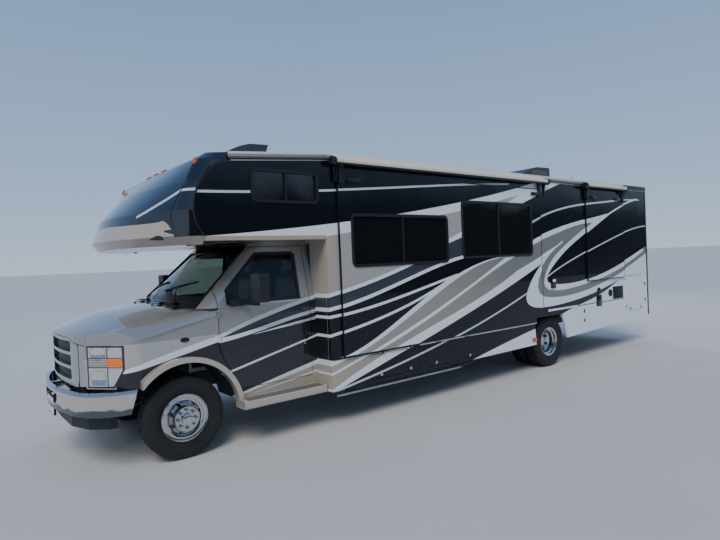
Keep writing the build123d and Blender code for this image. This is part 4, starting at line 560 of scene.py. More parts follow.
def lamp_finish(name):
    """Headlamp seen through its lens: bright cream bowls with broken blue bands, both painted reflections of
    ground and sky, dividing ribs and an amber turn lamp.
    """
    finish = Finish(name)
    _, y, z = finish.split()
    y = abs(y)
    amber = (y > 0.795) * (z > 0.934) * (z < 1.006)
    rib = ((abs(y - 0.798) < 0.005) + (abs(z - 1.012) < 0.005) + (abs(z - 0.928) < 0.005)).clamped()
    corner = (y > (z - 0.745) * 0.524 + 0.832) * (z < 0.909)
    rim = ((y < 0.646) + (z < 0.757) + (z > 1.106) + (y > 0.918) + corner).clamped()
    upper, lower, outer = ((y - bowl_y) ** 2 + (z - bowl_z) ** 2
                           for bowl_y, bowl_z in ((0.722, 1.06), (0.722, 0.842), (0.86, 1.06)))
    reach = upper.lesser(lower).lesser(outer) ** 0.5
    comb = (z > 0.93) * (z < 1.01) * (1.0 - (y > 0.80))
    # painted reflection: broken blue bands of sky across the bowls
    broken = finish.noise(28.0, 3.0, 0.6) * 0.03
    bands = ((abs(z - 1.040 + broken) < 0.018) + (abs(z - 0.806 + broken) < 0.026)).clamped()
    painted_sky = bands * (y < 0.786) * (y > 0.664)
    # painted reflection: the bowls' cream stands for the warm ground they mirror
    colour = (0.80, 0.76, 0.68)
    for paint, mask in (((0.16, 0.30, 0.55), painted_sky * 0.8), ((0.30, 0.28, 0.26), abs(reach - 0.062) < 0.0022),
                        ((0.20, 0.18, 0.16), comb * (finish.wave(22.0, "Z") > 0.5)),
                        ((0.90, 0.17, 0.008), amber), ((0.16, 0.16, 0.16), rib * (1.0 - amber)),
                        (FRAME, rim)):
        colour = finish.mix(colour, paint, mask)
    finish.set(base_color=colour, metallic=(1.0 - amber) * (1.0 - rim) * 0.8, roughness=0.12, coat_weight=1.0,
               coat_roughness=0.02)
    return finish.bump(finish.wave(26.0, "Y") * 0.12 + reach * 6.0, 0.6, 0.01)


def lens(name, colour):
    """A small moulded lamp lens."""
    finish = Finish(name)
    flutes = finish.wave(60.0)
    finish.set(base_color=finish.mix(colour, dimmed(colour, 0.6), flutes), roughness=0.15, coat_weight=1.0)
    return finish.bump(flutes, 0.3)


def leather(name, colour):
    """Seat leather with a fine grain and softly rubbed crowns."""
    finish = Finish(name)
    rub = finish.noise(7.0, 4.0)
    finish.set(base_color=finish.mix(colour, dimmed(colour, 0.7), rub), roughness=rub * 0.2 + 0.42)
    return finish.bump(finish.cells(420.0), 0.35, 0.0006)


def cloth(name, colour):
    """Coated awning cloth with its weave and long creases."""
    finish = Finish(name)
    crease = finish.noise(5.0, 4.0, 0.6, finish.stretched(0.15, 3, 3))
    finish.set(base_color=finish.mix(colour, dimmed(colour, 0.74), crease), roughness=0.62)
    return finish.bump(finish.wave(700.0, "DIAGONAL", 0.5) * 0.3 + crease, 0.3, 0.002)


coach_paint("coach_stripes").on("wall_left wall_right skirts")
coach_paint("rear_wall_stripes", front=False, end=True).on("wall_rear")
coach_paint("hatch_stripes", fittings=(0.03, 0.03, 0.032)).on(
    "hatch_left_1 hatch_left_2 hatch_left_rear hatch_right_1 hatch_right_rear")
coach_paint("entry_stripes", fittings=CASTING_AND_SHADE).on("entry_door")
coach_paint("slide_main_stripes", inner_y=1.2665, room=(-1.652, -5.405, 0.752, 2.722)).on("slide_main")
coach_paint("slide_rear_stripes", front=False, inner_y=1.2665, room=(-6.747, -8.008, 1.282, 2.738)).on(
    "slide_rear")
cab_paint("cab_silver").on("hood cab_door_left cab_door_right")
cab_paint("cab_shell_silver", cowl=True).on("cab_shell")
cap_paint("cap_black").on("front_cap")
surround_paint("surround_stripes").on("cab_surround")
painted("pewter_paint", (0.47, 0.42, 0.34), 0.26, 0.2).on("flares")
CHASSIS_BLACK = painted("chassis_black", SEAL, 0.5, coat=0.1).on(
    "chassis_frame front_axle rear_axle rear_bumper")
TYRE = patchy("tyre_rubber", (0.010, 0.010, 0.010), (0.040, 0.036, 0.031), (14.0, 5.0, 0.65), 0.7, 0.2, 0.66)
TYRE.grain(260.0, 2.0, 0.35).on("tyre_front_left tyre_front_right tyres_rear_left tyres_rear_right")
bumper_finish("bumper_chrome").on("front_bumper")
CHROME = metal("bright_chrome", (0.72, 0.71, 0.69), 0.07)
metal("polished_wheel", (0.66, 0.66, 0.65), 0.12).on(
    "rim_front_left rim_front_right rims_rear_left rims_rear_right")
metal("pipe_steel", (0.36, 0.33, 0.30), 0.34).on("exhaust")
metal("cast_iron", (0.16, 0.15, 0.14), 0.55, depth=0.4).on("knuckle_left knuckle_right engine")
metal("step_aluminium", (0.58, 0.58, 0.58), 0.28, (1, 30, 30)).on("entry_step ladder")
SILVER_TRIM = metal("silver_trim", (0.60, 0.61, 0.62), 0.22)
MIRROR = metal("mirror_face", (0.80, 0.82, 0.84), 0.02, depth=0.0)
BLACK_PLASTIC = plastic("black_plastic", FRAME).on(
    "underbody_tanks liners_valance mirror_left mirror_right storage_tubs")
GLOSS_BLACK = plastic("gloss_black", (0.008, 0.008, 0.009), 0.16, depth=0.03)
GREY_PLASTIC = plastic("trim_grey", (0.13, 0.12, 0.11), 0.55).on("dashboard")
WHITE_PLASTIC = plastic("white_plastic", (0.66, 0.67, 0.68), 0.32, depth=0.05)
plastic("floor_board", (0.20, 0.13, 0.075), 0.5, 60.0).on("coach_floor")
RAIL_BANDS = rail_finish("roof_rail_bands")
AMBER = lens("amber_lens", (0.62, 0.10, 0.006))
lens("red_lens", (0.42, 0.006, 0.006)).on("tail_lamps")
LEATHER = leather("beige_leather", (0.46, 0.38, 0.27)).on("cab_seats")
AWNING = cloth("ivory_awning", CLOTH).on("awning")
rolled_finish("rolled_cloth").on("topper_main topper_rear")
membrane = patchy("roof_membrane", (0.66, 0.64, 0.58), (0.42, 0.40, 0.36), (1.6, 6.0, 0.7), 0.5, 0.2, 0.5)
membrane.grain(30.0, 3.0, 0.12, 0.003).on("roof")
roof_unit_finish("roof_unit_shrouds").on("roof_units")
grille_finish("grille_chrome").on("grille")
lamp_finish("headlamp_lens").on("headlamps")
windshield_finish("windshield_glass").on("windshield")
door_glass_finish("door_glass").on("door_glass_left door_glass_right")
window_finish("coach_window", 1.2488).on("coach_windows")
window_finish("slide_window", 1.2758).on("slide_main_windows")


# Forms

def eased(form, width):
    """The form with its edges bevelled."""
    if width:
        bmesh.ops.bevel(form, geom=form.edges[:], offset=width, segments=2, profile=0.5, affect="EDGES",
                        material=-1)
    return form


def box(x, y, z):
    """A box of this size round the origin."""
    form = bmesh.new()
    bmesh.ops.create_cube(form, size=1)
    bmesh.ops.scale(form, vec=(x, y, z), verts=form.verts)
    return form


def block(x0, x1, y0, y1, z0, z1, bevel=0.004):
    """A box with eased edges, its X counted from the front axle."""
    form = box(abs(x1 - x0), abs(y1 - y0), abs(z1 - z0))
    bmesh.ops.translate(form, vec=at((x0 + x1) / 2, (y0 + y1) / 2, (z0 + z1) / 2), verts=form.verts)
    return eased(form, bevel)


def turned(profile, place, axis, steps=24, stretch=(1, 1, 1)):
    """A profile of radius and height turned round an axis that starts at a place."""
    form = bmesh.new()
    verts = [form.verts.new((radius, 0, height)) for radius, height in profile]
    edges = [form.edges.new(pair) for pair in zip(verts, verts[1:])]
    bmesh.ops.spin(form, geom=verts + edges, cent=(0, 0, 0), axis=(0, 0, 1), angle=2 * pi, steps=steps,
                   use_merge=True)
    bmesh.ops.remove_doubles(form, verts=form.verts, dist=1e-5)
    aim = Vector(axis).to_track_quat("Z", "Y").to_matrix().to_4x4()
    bmesh.ops.transform(form, matrix=Matrix.Translation(place) @ aim @ Matrix.Diagonal((*stretch, 1)),
                        verts=form.verts)
    return form


def rod(start, end, radius, steps=12):
    """A round bar with eased ends between two places."""
    length = (end - start).length
    ease = radius * 0.3
    profile = [(0, 0), (radius - ease, 0), (radius, ease), (radius, length - ease), (radius - ease, length),
               (0, length)]
    return turned(profile, start, end - start, steps)


def strap(start, end, width, thick, side=(0, 1, 0)):
    """A flat bar between two places, its thickness along the side direction."""
    form = eased(box(thick, width, (end - start).length), min(width, thick) * 0.25)
    along = (end - start).normalized()
    across = along.cross(Vector(side)).normalized()
    turn = Matrix((across.cross(along), across, along)).transposed().to_4x4()
    bmesh.ops.transform(form, matrix=Matrix.Translation((start + end) / 2) @ turn, verts=form.verts)
    return form


def plate(points, y0, y1, bevel):
    """An outline in X and Z, X counted from the front axle, with its thickness along Y."""
    form = bmesh.new()
    face = form.faces.new([form.verts.new(at(x, y0, z)) for x, z in points])
    grown = bmesh.ops.extrude_face_region(form, geom=[face])
    moved = [part for part in grown["geom"] if isinstance(part, bmesh.types.BMVert)]
    bmesh.ops.translate(form, vec=(0, y1 - y0, 0), verts=moved)
    return eased(form, bevel)


def on_side(side, forms):
    """The forms, or their mirror images on the right side."""
    if side > 0:
        return forms
    for form in forms:
        bmesh.ops.scale(form, vec=(1, -1, 1), verts=form.verts)
    return forms


def link(name, data):
    """An object in the scene for some data."""
    made = bpy.data.objects.new(name, data)
    bpy.context.scene.collection.objects.link(made)
    return made


def piece(name, forms, finish, body="coach", smooth=35, replaces=()):
    """Joins forms into one named object that rides on a body."""
    mesh = bpy.data.meshes.new(name)
    whole = bmesh.new()
    for form in forms:
        form.to_mesh(mesh)
        form.free()
        whole.from_mesh(mesh)
    bmesh.ops.recalc_face_normals(whole, faces=whole.faces)
    whole.to_mesh(mesh)
    whole.free()
    mesh.shade_smooth()
    mesh.set_sharp_from_angle(angle=radians(smooth))
    mesh.materials.append(finish.material)
    made = link(name, mesh)
    if body:
        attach(made, body)
    if replaces:
        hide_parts(*replaces)
    return made


def surface(*names):
    """What rays meet on some CAD nodes."""
    verts, faces = [], []
    for name in names:
        mesh = nodes[name].data
        first = len(verts)
        verts += [vert.co.copy() for vert in mesh.vertices]
        faces += [[first + index for index in face.vertices] for face in mesh.polygons]
    return BVHTree.FromPolygons(verts, faces)


def meet(tree, start, way):
    """The place and the outward direction where a ray meets a surface."""
    place, normal, _, _ = tree.ray_cast(Vector(start), Vector(way))
    if normal.dot(Vector(way)) > 0:
        normal = -normal
    return place, normal


# Wheels

TYRE_RADIUS = 385
TYRE_SIDE = [
    # radius and distance from the middle, in millimetres, from bead to tread
    (204, 74), (214, 83), (222, 80), (236, 87), (250, 95), (261, 100), (263, 103), (268, 104.5), (271, 103),
    (285, 109), (300, 111.5), (318, 111.5), (330, 109), (332, 110.5), (335, 110), (337, 106.5), (350, 101),
    (362, 97), (371, 92), (378, 85.5), (382.5, 78), (384.6, 70), (TYRE_RADIUS, 64),
]
TREAD_GROOVES = [(42, 8), (14, 8)]  # distance from the middle, width
GROOVE_FLOOR = TYRE_RADIUS - 9
TREAD_STEPS = 80
TREAD_CUTS = [(0.05, 0.089, 0), (0.017, 0.039, 2)]  # from and to across, and which step of four
CUT_REACH, CUT_EDGE, CUT_DEPTH = 0.3725, 0.0045, 0.006


def tyre_form(centre, side):
    """A tyre with ribs on its wall, grooves round its tread and cut shoulder blocks."""
    half = list(TYRE_SIDE)
    for middle, width in TREAD_GROOVES:
        outer, inner = middle + width / 2, middle - width / 2
        half += [(TYRE_RADIUS, outer), (GROOVE_FLOOR, outer - 1),
                 (GROOVE_FLOOR, inner + 1), (TYRE_RADIUS, inner)]
    profile = half + [(radius, -across) for radius, across in reversed(half)]
    profile.append(profile[0])
    form = turned([(radius / 1000, across / 1000) for radius, across in profile], centre, (0, side, 0),
                  TREAD_STEPS)
    form.faces.ensure_lookup_table()
    cuts = []
    for face in form.faces:
        middle = face.calc_center_median() - centre
        spoke = Vector((middle.x, middle.z))
        step = int(((spoke.angle_signed(Vector((1, 0))) / (2 * pi)) % 1) * TREAD_STEPS)
        if spoke.length > CUT_REACH and any(low < abs(middle.y) < high and step % 4 == turn
                                         for low, high, turn in TREAD_CUTS):
            cuts.append(face)
    bmesh.ops.inset_individual(form, faces=cuts, thickness=CUT_EDGE, depth=0)
    for vert in {vert for face in cuts for vert in face.verts}:
        spoke = vert.co - centre
        spoke.y = 0
        vert.co -= spoke.normalized() * CUT_DEPTH
    return form


FRONT_TYRE_Y, REAR_OUTER_TYRE_Y, TWIN_SPACING, REAR_X = 0.880, 1.085, 0.280, -5.702
# profiles of radius and height out from the wheel's middle plane
LINER_DOME = [(0.206, 0.080), (0.214, 0.092), (0.2195, 0.094), (0.2185, 0.089), (0.203, 0.082),
              (0.192, 0.081), (0.190, 0.087), (0.182, 0.086), (0.178, 0.078), (0.160, 0.0745),
              (0.158, 0.0735)]
HUB_CAP = [(0.052, 0.160), (0.050, 0.169), (0.042, 0.174), (0.030, 0.177), (0.016, 0.178), (0, 0.1785)]
NUT = [(0.0165, 0), (0.0165, 0.012), (0.013, 0.020), (0.007, 0.0235), (0, 0.0245)]
NUT_COUNT, NUT_RING = 8, 0.08255
for side, word in SIDES:
    centre, axis = at(0, side * FRONT_TYRE_Y, AXLE_Z), (0, side, 0)
    front, rear = f"wheel_front_{word}", f"wheels_rear_{word}"
    piece(f"tyre_front_{word}_ribbed", [tyre_form(centre, side)], TYRE, front,
          replaces=[f"tyre_front_{word}"])
    twins = [tyre_form(at(REAR_X, side * y, AXLE_Z), side)
             for y in (REAR_OUTER_TYRE_Y, REAR_OUTER_TYRE_Y - TWIN_SPACING)]
    piece(f"tyres_rear_{word}_ribbed", twins, TYRE, rear, replaces=[f"tyres_rear_{word}"])
    piece(f"wheel_liner_front_{word}", [turned(LINER_DOME, centre, axis, 64)], CHROME, front)
    hub = [turned(HUB_CAP, centre, axis, 40)]
    for index in range(NUT_COUNT):
        turn = 2 * pi * index / NUT_COUNT
        place = centre + Vector((NUT_RING * cos(turn), side * 0.160, NUT_RING * sin(turn)))
        hub.append(turned(NUT, place, axis, 6))
    piece(f"hub_cap_front_{word}", hub, CHROME, front, smooth=28)


# Cab trim

glass = surface("windshield")
cab_skin = surface("cab_shell", "hood", "cab_door_left", "cab_door_right", "front_cap")
cap_skin = surface("front_cap")


def on_glass(y, z, lift):
    """A place over the windshield, and the direction away from it."""
    place, normal = meet(glass, at(1, y, z), (-1, 0, 0))
    return place + normal * lift, normal


WIPER_Z = 1.57
BLADE_HALF = 0.27


def wiper(pivot_y, tip_y):
    """An arm from the cowl and a blade that lies on the glass."""
    pivot = at(-0.045 - abs(pivot_y) * 0.12, pivot_y, 1.452)
    tip, normal = on_glass(tip_y, WIPER_Z, 0.026)
    low, _ = on_glass(tip_y - BLADE_HALF, WIPER_Z - 0.035, 0.012)
    high, _ = on_glass(tip_y + BLADE_HALF, WIPER_Z + 0.055, 0.012)
    elbow = pivot.lerp(tip, 0.45) + normal * 0.01
    return [turned([(0.020, -0.02), (0.020, 0.010), (0.014, 0.018), (0, 0.020)], pivot, (0.3, 0, 1), 20),
            strap(pivot, elbow, 0.020, 0.009, normal), strap(elbow, tip, 0.011, 0.007, normal),
            strap(low, high, 0.012, 0.016, normal),
            strap(low.lerp(high, 0.3), low.lerp(high, 0.7), 0.016, 0.024, normal)]


def beside(side, x, z):
    """A place on the cab's side, and the direction away from it."""
    return meet(cab_skin, at(x, side * 2, z), (0, -side, 0))


piece("windshield_wipers", wiper(0.52, 0.26) + wiper(-0.22, -0.48), BLACK_PLASTIC)
cowl = [block(-0.155 + row * 0.028, -0.143 + row * 0.028, -0.60, 0.60, 1.4395 - row * 0.001,
              1.4475 - row * 0.001, 0.002) for row in range(4)]
piece("cowl_grating", cowl, BLACK_PLASTIC)
foot, _ = meet(cab_skin, at(-0.15, -0.86, 2.0), (0, 0, -1))
piece("radio_antenna", [
    turned([(0.022, -0.004), (0.022, 0.008), (0.012, 0.022), (0.006, 0.028), (0, 0.028)], foot, (0, -0.2, 1)),
    rod(foot, foot + Vector((0.02, -0.05, 0.62)), 0.0028, 8)], GLOSS_BLACK)

HANDLE_X, HANDLE_Z = -1.335, 1.045
# x, y out from the door and z, from and to, and the bevel
HANDLE_BLOCKS = [(-0.033, 0.033, -0.004, 0.006, -0.085, 0.085, 0.004),
                 (-0.021, 0.013, 0.010, 0.024, -0.060, 0.068, 0.006),
                 (-0.012, 0.006, 0, 0.014, 0.048, 0.064, 0.003),
                 (-0.012, 0.006, 0, 0.014, -0.056, -0.040, 0.003)]
LOCK = [(0.0135, -0.002), (0.0135, 0.003), (0.011, 0.005), (0.004, 0.005), (0.004, 0.003), (0, 0.003)]
MARKER = [(0.022, -0.003), (0.022, 0.004), (0.019, 0.009), (0.010, 0.011), (0, 0.012)]
MIRROR_GLASS = (-0.6925, -0.687, 1.272, 1.418)
for side, word in SIDES:
    door = f"cab_door_{word}"
    y = side * beside(side, HANDLE_X, HANDLE_Z)[0].y
    pocket = [block(HANDLE_X + x0, HANDLE_X + x1, y + y0, y + y1, HANDLE_Z + z0, HANDLE_Z + z1, bevel)
              for x0, x1, y0, y1, z0, z1, bevel in HANDLE_BLOCKS]
    piece(f"cab_handle_{word}", on_side(side, pocket), GLOSS_BLACK, door)
    lock, _ = beside(side, HANDLE_X + 0.005, HANDLE_Z - 0.125)
    piece(f"cab_lock_{word}", [turned(LOCK, lock, (0, side, 0), 20)], CHROME, door)
    marker, outward = beside(side, -0.02, 1.115)
    piece(f"fender_marker_{word}", [turned(MARKER, marker, outward, 28, (2.0, 1, 1))], GLOSS_BLACK)
    # the running board's tread: ribs on a thin mat
    ribs = [block(-1.425, -0.56, y, y + 0.011, 0.468, 0.4745, 0.002)
            for y in (1.050 + row * 0.0195 for row in range(6))]
    ribs.append(block(-1.435, -0.55, 1.040, 1.172, 0.466, 0.4715, 0.001))
    piece(f"board_tread_{word}", on_side(side, ribs), GREY_PLASTIC)
    panes = [block(*MIRROR_GLASS, 1.500, 1.684, 0.003), block(*MIRROR_GLASS, 1.440, 1.488, 0.003)]
    piece(f"mirror_glass_{word}", on_side(side, panes), MIRROR, door)
    bezel = [block(-0.6905, -0.684, 1.262, 1.428, 1.432, 1.692)]
    piece(f"mirror_bezel_{word}", on_side(side, bezel), GLOSS_BLACK, door)

PLATE_Z = 0.455
piece("number_plate_front", [block(0.950, 0.953, -0.152, 0.152, PLATE_Z, PLATE_Z + 0.152, 0.001),
                             block(0.9525, 0.9535, -0.140, 0.140, PLATE_Z + 0.012, PLATE_Z + 0.140, 0.0)],
      WHITE_PLASTIC)
piece("plate_holder_front", [block(0.930, 0.951, -0.162, 0.162, PLATE_Z - 0.010, PLATE_Z + 0.164)],
      BLACK_PLASTIC)


# Cab seats: frames and swelling leather pads

SEAT_Y = 0.5
PAD_VOXEL = 0.009
PAD_SWELL = 0.014
PAD_PRESSURE = 4
SWELL_FRAMES = 20
GROOVE_WIDTH = 0.012
GROOVE_SINK = 0.007
SEAT_PADS = [
    # name, outline in X and Z, half width, bevel, where the grooves run, height up to which it lies flat
    ("seat_cushion", [(-1.405, 0.966), (-0.895, 0.966), (-0.895, 1.065), (-0.960, 1.078), (-1.405, 1.070)],
     0.238, 0.028, 0.135, 0.975),
    ("seat_back", [(-1.292, 1.085), (-1.378, 1.085), (-1.500, 1.628), (-1.420, 1.640)],
     0.225, 0.026, 0.130, 0.0),
    ("headrest", [(-1.412, 1.690), (-1.488, 1.690), (-1.500, 1.835), (-1.444, 1.842)],
     0.112, 0.022, 0.0, 0.0),
]


def evaluated_mesh(made):
    """The mesh as its modifiers leave it; the modifiers go."""
    mesh = bpy.data.meshes.new_from_object(made.evaluated_get(bpy.context.evaluated_depsgraph_get()))
    made.modifiers.clear()
    return mesh


def swell(made, flat_below):
    """Lets a pad swell like cloth under pressure, its movement capped, and keeps the result."""
    settings = made.modifiers.new("swell", "CLOTH").settings
    settings.quality = 4
    settings.use_pressure = True
    settings.uniform_pressure_force = PAD_PRESSURE
    settings.effector_weights.gravity = 0
    for step in range(1, SWELL_FRAMES + 1):
        bpy.context.scene.frame_set(step)
    grown = evaluated_mesh(made)
    bpy.context.scene.frame_set(1)
    for vert, new in zip(made.data.vertices, grown.vertices):
        step = new.co - vert.co
        if step.length > PAD_SWELL:
            step = step.normalized() * PAD_SWELL
        if vert.co.z >= flat_below:
            vert.co += step


def leather_piece(name, form):
    return piece(name, [form], LEATHER, smooth=60, replaces=["cab_seats"])


def finish_pad(made):
    finer = made.modifiers.new("finer", "SUBSURF")
    finer.levels = finer.render_levels = 1


def pad(name, outline, half, bevel, groove, flat_below):
    """The left seat's pad with its sewn grooves, and the right one as its twin."""
    made = leather_piece(f"{name}_left", plate(outline, SEAT_Y - half, SEAT_Y + half, bevel))
    even = made.modifiers.new("even", "REMESH")
    even.mode, even.voxel_size = "VOXEL", PAD_VOXEL
    mesh = made.data = evaluated_mesh(made)
    swell(made, flat_below)
    if groove:
        for vert in mesh.vertices:
            reach = abs(abs(vert.co.y - SEAT_Y) - groove) / GROOVE_WIDTH
            if reach < 1 and (vert.normal.z > 0.5 or vert.normal.x > 0.5):
                vert.co -= vert.normal * GROOVE_SINK * (1 - reach)
    mesh.shade_smooth()
    finish_pad(made)
    form = bmesh.new()
    form.from_mesh(mesh)
    finish_pad(leather_piece(f"{name}_right", on_side(-1, [form])[0]))


for row in SEAT_PADS:
    pad(*row)
for side, word in SIDES:
    frames = [block(-1.375, -0.955, SEAT_Y - 0.195, SEAT_Y + 0.195, 0.7455, 0.90, 0.012),
              block(-1.395, -0.925, SEAT_Y - 0.225, SEAT_Y + 0.225, 0.90, 0.962, 0.014)]
    frames += [rod(at(-1.452, y, 1.60), at(-1.452, y, 1.72), 0.007) for y in (SEAT_Y - 0.06, SEAT_Y + 0.06)]
    frames += [strap(at(-1.30, y, 1.0), at(-1.36, y, 1.13), 0.07, 0.012)
               for y in (SEAT_Y - 0.235, SEAT_Y + 0.235)]
    piece(f"seat_frame_{word}", on_side(side, frames), GREY_PLASTIC, replaces=["cab_seats"])


# Coach trim. Seams lie along places that the curve passes through

def on_wall(x0, x1, z0, z1, proud=0.006, sunk=0.004, bevel=0.003):
    """A flat fitting on the left wall."""
    return block(x0, x1, HALF_WIDTH - sunk, HALF_WIDTH + proud, z0, z1, bevel)


def round_on_wall(profile, x, z, out=0.0, steps=32):
    """A turned fitting on the left wall."""
    return turned(profile, at(x, HALF_WIDTH + out, z), (0, 1, 0), steps)


BEAD_STEPS = 10
CURVE_STEPS = 5


def rounded_path(points):
    """More places along the smooth curve through some places."""
    ends = [points[0] * 2 - points[1], *points, points[-1] * 2 - points[-2]]
    path = []
    for first, start, end, last in zip(ends, ends[1:], ends[2:], ends[3:]):
        for share in (step / CURVE_STEPS for step in range(CURVE_STEPS)):
            path.append((start * 2 + (end - first) * share
                         + (first * 2 - start * 5 + end * 4 - last) * share ** 2
                         + (start * 3 - first - end * 3 + last) * share ** 3) * 0.5)
    return path + [points[-1]]


def sweep(places, radius):
    """A round bead along the smooth curve through some places."""
    path = rounded_path(places)
    form = bmesh.new()
    rings = []
    for index, place in enumerate(path):
        along = path[min(index + 1, len(path) - 1)] - path[max(index - 1, 0)]
        turn = along.to_track_quat("Z", "Y").to_matrix().to_4x4()
        ring = bmesh.ops.create_circle(form, cap_ends=index in (0, len(path) - 1), segments=BEAD_STEPS,
                                       radius=radius, matrix=Matrix.Translation(place) @ turn)
        rings.append({edge for vert in ring["verts"] for edge in vert.link_edges})
    for first, second in zip(rings, rings[1:]):
        bmesh.ops.bridge_loops(form, edges=[*first, *second])
    return form


piece("silver_moulding_left", [on_wall(-5.24, -2.80, 0.719, 0.750, 0.009),
                               on_wall(-6.42, -5.57, 0.868, 0.898, 0.008)], WHITE_PLASTIC)
piece("dark_moulding_left", [on_wall(-2.80, -1.50, 0.724, 0.745, 0.007),
                             on_wall(-8.0, -6.42, 0.880, 0.890, 0.005)], GLOSS_BLACK)

SIDE_SEAM = [(-0.400, 2.772), (-0.315, 2.745), (-0.264, 2.701), (-0.205, 2.645), (-0.140, 2.565),
             (-0.095, 2.475), (-0.066, 2.38), (-0.060, 2.29), (-0.078, 2.20), (-0.112, 2.125),
             (-0.155, 2.066)]
NOSE_SEAM = [(-0.141, 1.21, 2.723), (-0.074, 1.188, 2.623), (-0.015, 1.157, 2.515), (0.038, 1.127, 2.405),
             (0.089, 1.109, 2.277), (0.09, 1.119, 2.198), (0.073, 1.154, 2.124)]
SEAM_REACH, SEAM_COS, SEAM_SIN = 0.35, cos(0.7), sin(0.7)  # whence the nose seam is laid on the cap
RAIL_ENDS = (-8.985, -1.52)
for side, word in SIDES:
    rails = [block(*RAIL_ENDS, 1.257, 1.272, 2.868, 2.932),
             block(*RAIL_ENDS, 1.240, 1.272, 2.926, 2.942, 0.005),
             strap(at(-1.525, 1.265, 2.900), at(-0.415, 1.265, 2.8175), 0.064, 0.014)]
    piece(f"roof_rail_{word}", on_side(side, rails), RAIL_BANDS)
    lip = [block(*RAIL_ENDS, 1.262, 1.276, 2.858, 2.870),
           strap(at(-1.525, 1.268, 2.864), at(-0.415, 1.268, 2.7815), 0.012, 0.016)]
    piece(f"roof_rail_lip_{word}", on_side(side, lip), GLOSS_BLACK)
    corners = [block(-8.990, -8.972, 1.205, 1.268, 0.505, 2.85, 0.005),
               block(-8.985, -8.94, 1.256, 1.268, 0.505, 2.85),
               sweep([at(x, 1.2625, z) for x, z in SIDE_SEAM], 0.0085)]
    piece(f"corner_mouldings_{word}", on_side(side, corners), GLOSS_BLACK)
    nose = [meet(cap_skin, at(x + SEAM_REACH * SEAM_COS, side * (y + SEAM_REACH * SEAM_SIN), z),
                 (-SEAM_COS, -side * SEAM_SIN, 0))[0] for x, y, z in NOSE_SEAM]
    piece(f"cap_seam_{word}", [sweep(nose, 0.005)], GLOSS_BLACK)
    marker = [on_wall(-5.235, -5.125, 0.458, 0.512, 0.014, bevel=0.006)]
    piece(f"side_marker_{word}", on_side(side, marker), AMBER)

LATCH = [(0.019, 0), (0.019, 0.003), (0.016, 0.006), (0.007, 0.006), (0.006, 0.003), (0, 0.003)]
for number, xs in ((1, (-2.17, -2.63)), (2, (-3.07, -3.71))):
    piece(f"latch_rings_{number}", [round_on_wall(LATCH, x, 0.472, 0.0055, 28) for x in xs], CHROME,
          f"hatch_left_{number}")

catches = [on_wall(x - 0.016, x + 0.016, z - 0.028, z + 0.028, 0.007)
           for x, z in ((-6.62, 0.78), (-6.62, 0.63), (-8.84, 1.10), (-8.84, 0.80))]
piece("rear_catches", catches + [on_wall(-8.105, -8.085, 0.70, 1.24, 0.004, bevel=0.001)], GLOSS_BLACK)
piece("docking_light", [on_wall(-5.78, -5.66, 1.22, 1.37, 0.028, bevel=0.010)], GLOSS_BLACK)
piece("docking_light_lens", [on_wall(-5.76, -5.68, 1.315, 1.357, 0.032, -0.024, 0.006)], WHITE_PLASTIC)
piece("service_hatch", [on_wall(-7.20, -7.02, 0.82, 1.01, 0.010, bevel=0.006),
                        on_wall(-7.185, -7.035, 0.835, 0.995, 0.016, -0.008, 0.006)], GLOSS_BLACK)
INLET = [(0.055, -0.004), (0.055, 0.010), (0.048, 0.018), (0.030, 0.022), (0, 0.023)]
piece("round_inlet", [round_on_wall(INLET, -7.11, 1.085)], GLOSS_BLACK)
FLUE = [(0.062, -0.004), (0.062, 0.012), (0.050, 0.016), (0.046, 0.006), (0, 0.006)]
vent = [on_wall(-7.97, -7.60, 0.90, 1.12, bevel=0.004), round_on_wall(FLUE, -7.50, 1.02)]
vent += [on_wall(-7.955, -7.615, z, z + 0.010, 0.016, -0.004)
         for z in (0.915 + row * 0.025 for row in range(8))]
piece("furnace_vent", vent, BLACK_PLASTIC)
piece("corner_strip", [on_wall(-8.095, -8.062, 0.75, 1.20, 0.012, bevel=0.005)], WHITE_PLASTIC)

# the long bar below the front skirt
piece("side_bar_left", [rod(at(-3.55, 1.225, 0.335), at(-1.56, 1.225, 0.335), 0.016)], SILVER_TRIM)
hangers = [rod(at(-4.0, 1.225, 0.42), at(-3.55, 1.225, 0.335), 0.014)]
for x in (-3.5, -2.6, -1.7):
    hangers.append(strap(at(x, 1.215, 0.345), at(x, 1.205, 0.40), 0.03, 0.012, (1, 0, 0)))
piece("side_bar_hangers", hangers, CHASSIS_BLACK)


# Toppers: end caps, arms and the fabric between rail and roll

TOPPERS = [
    # name, front x, rear x, roll z
    ("main", -1.58, -5.54, ROLL_Z),
    ("rear", -6.69, -8.06, ROLL_Z + REAR_ROLL_RISE),
]
ROLL_END = [(0.0, -0.003), (0.047, -0.003), (0.049, 0.004), (0.049, 0.024), (0.042, 0.031), (0, 0.032)]
ARM_INSET = 0.04
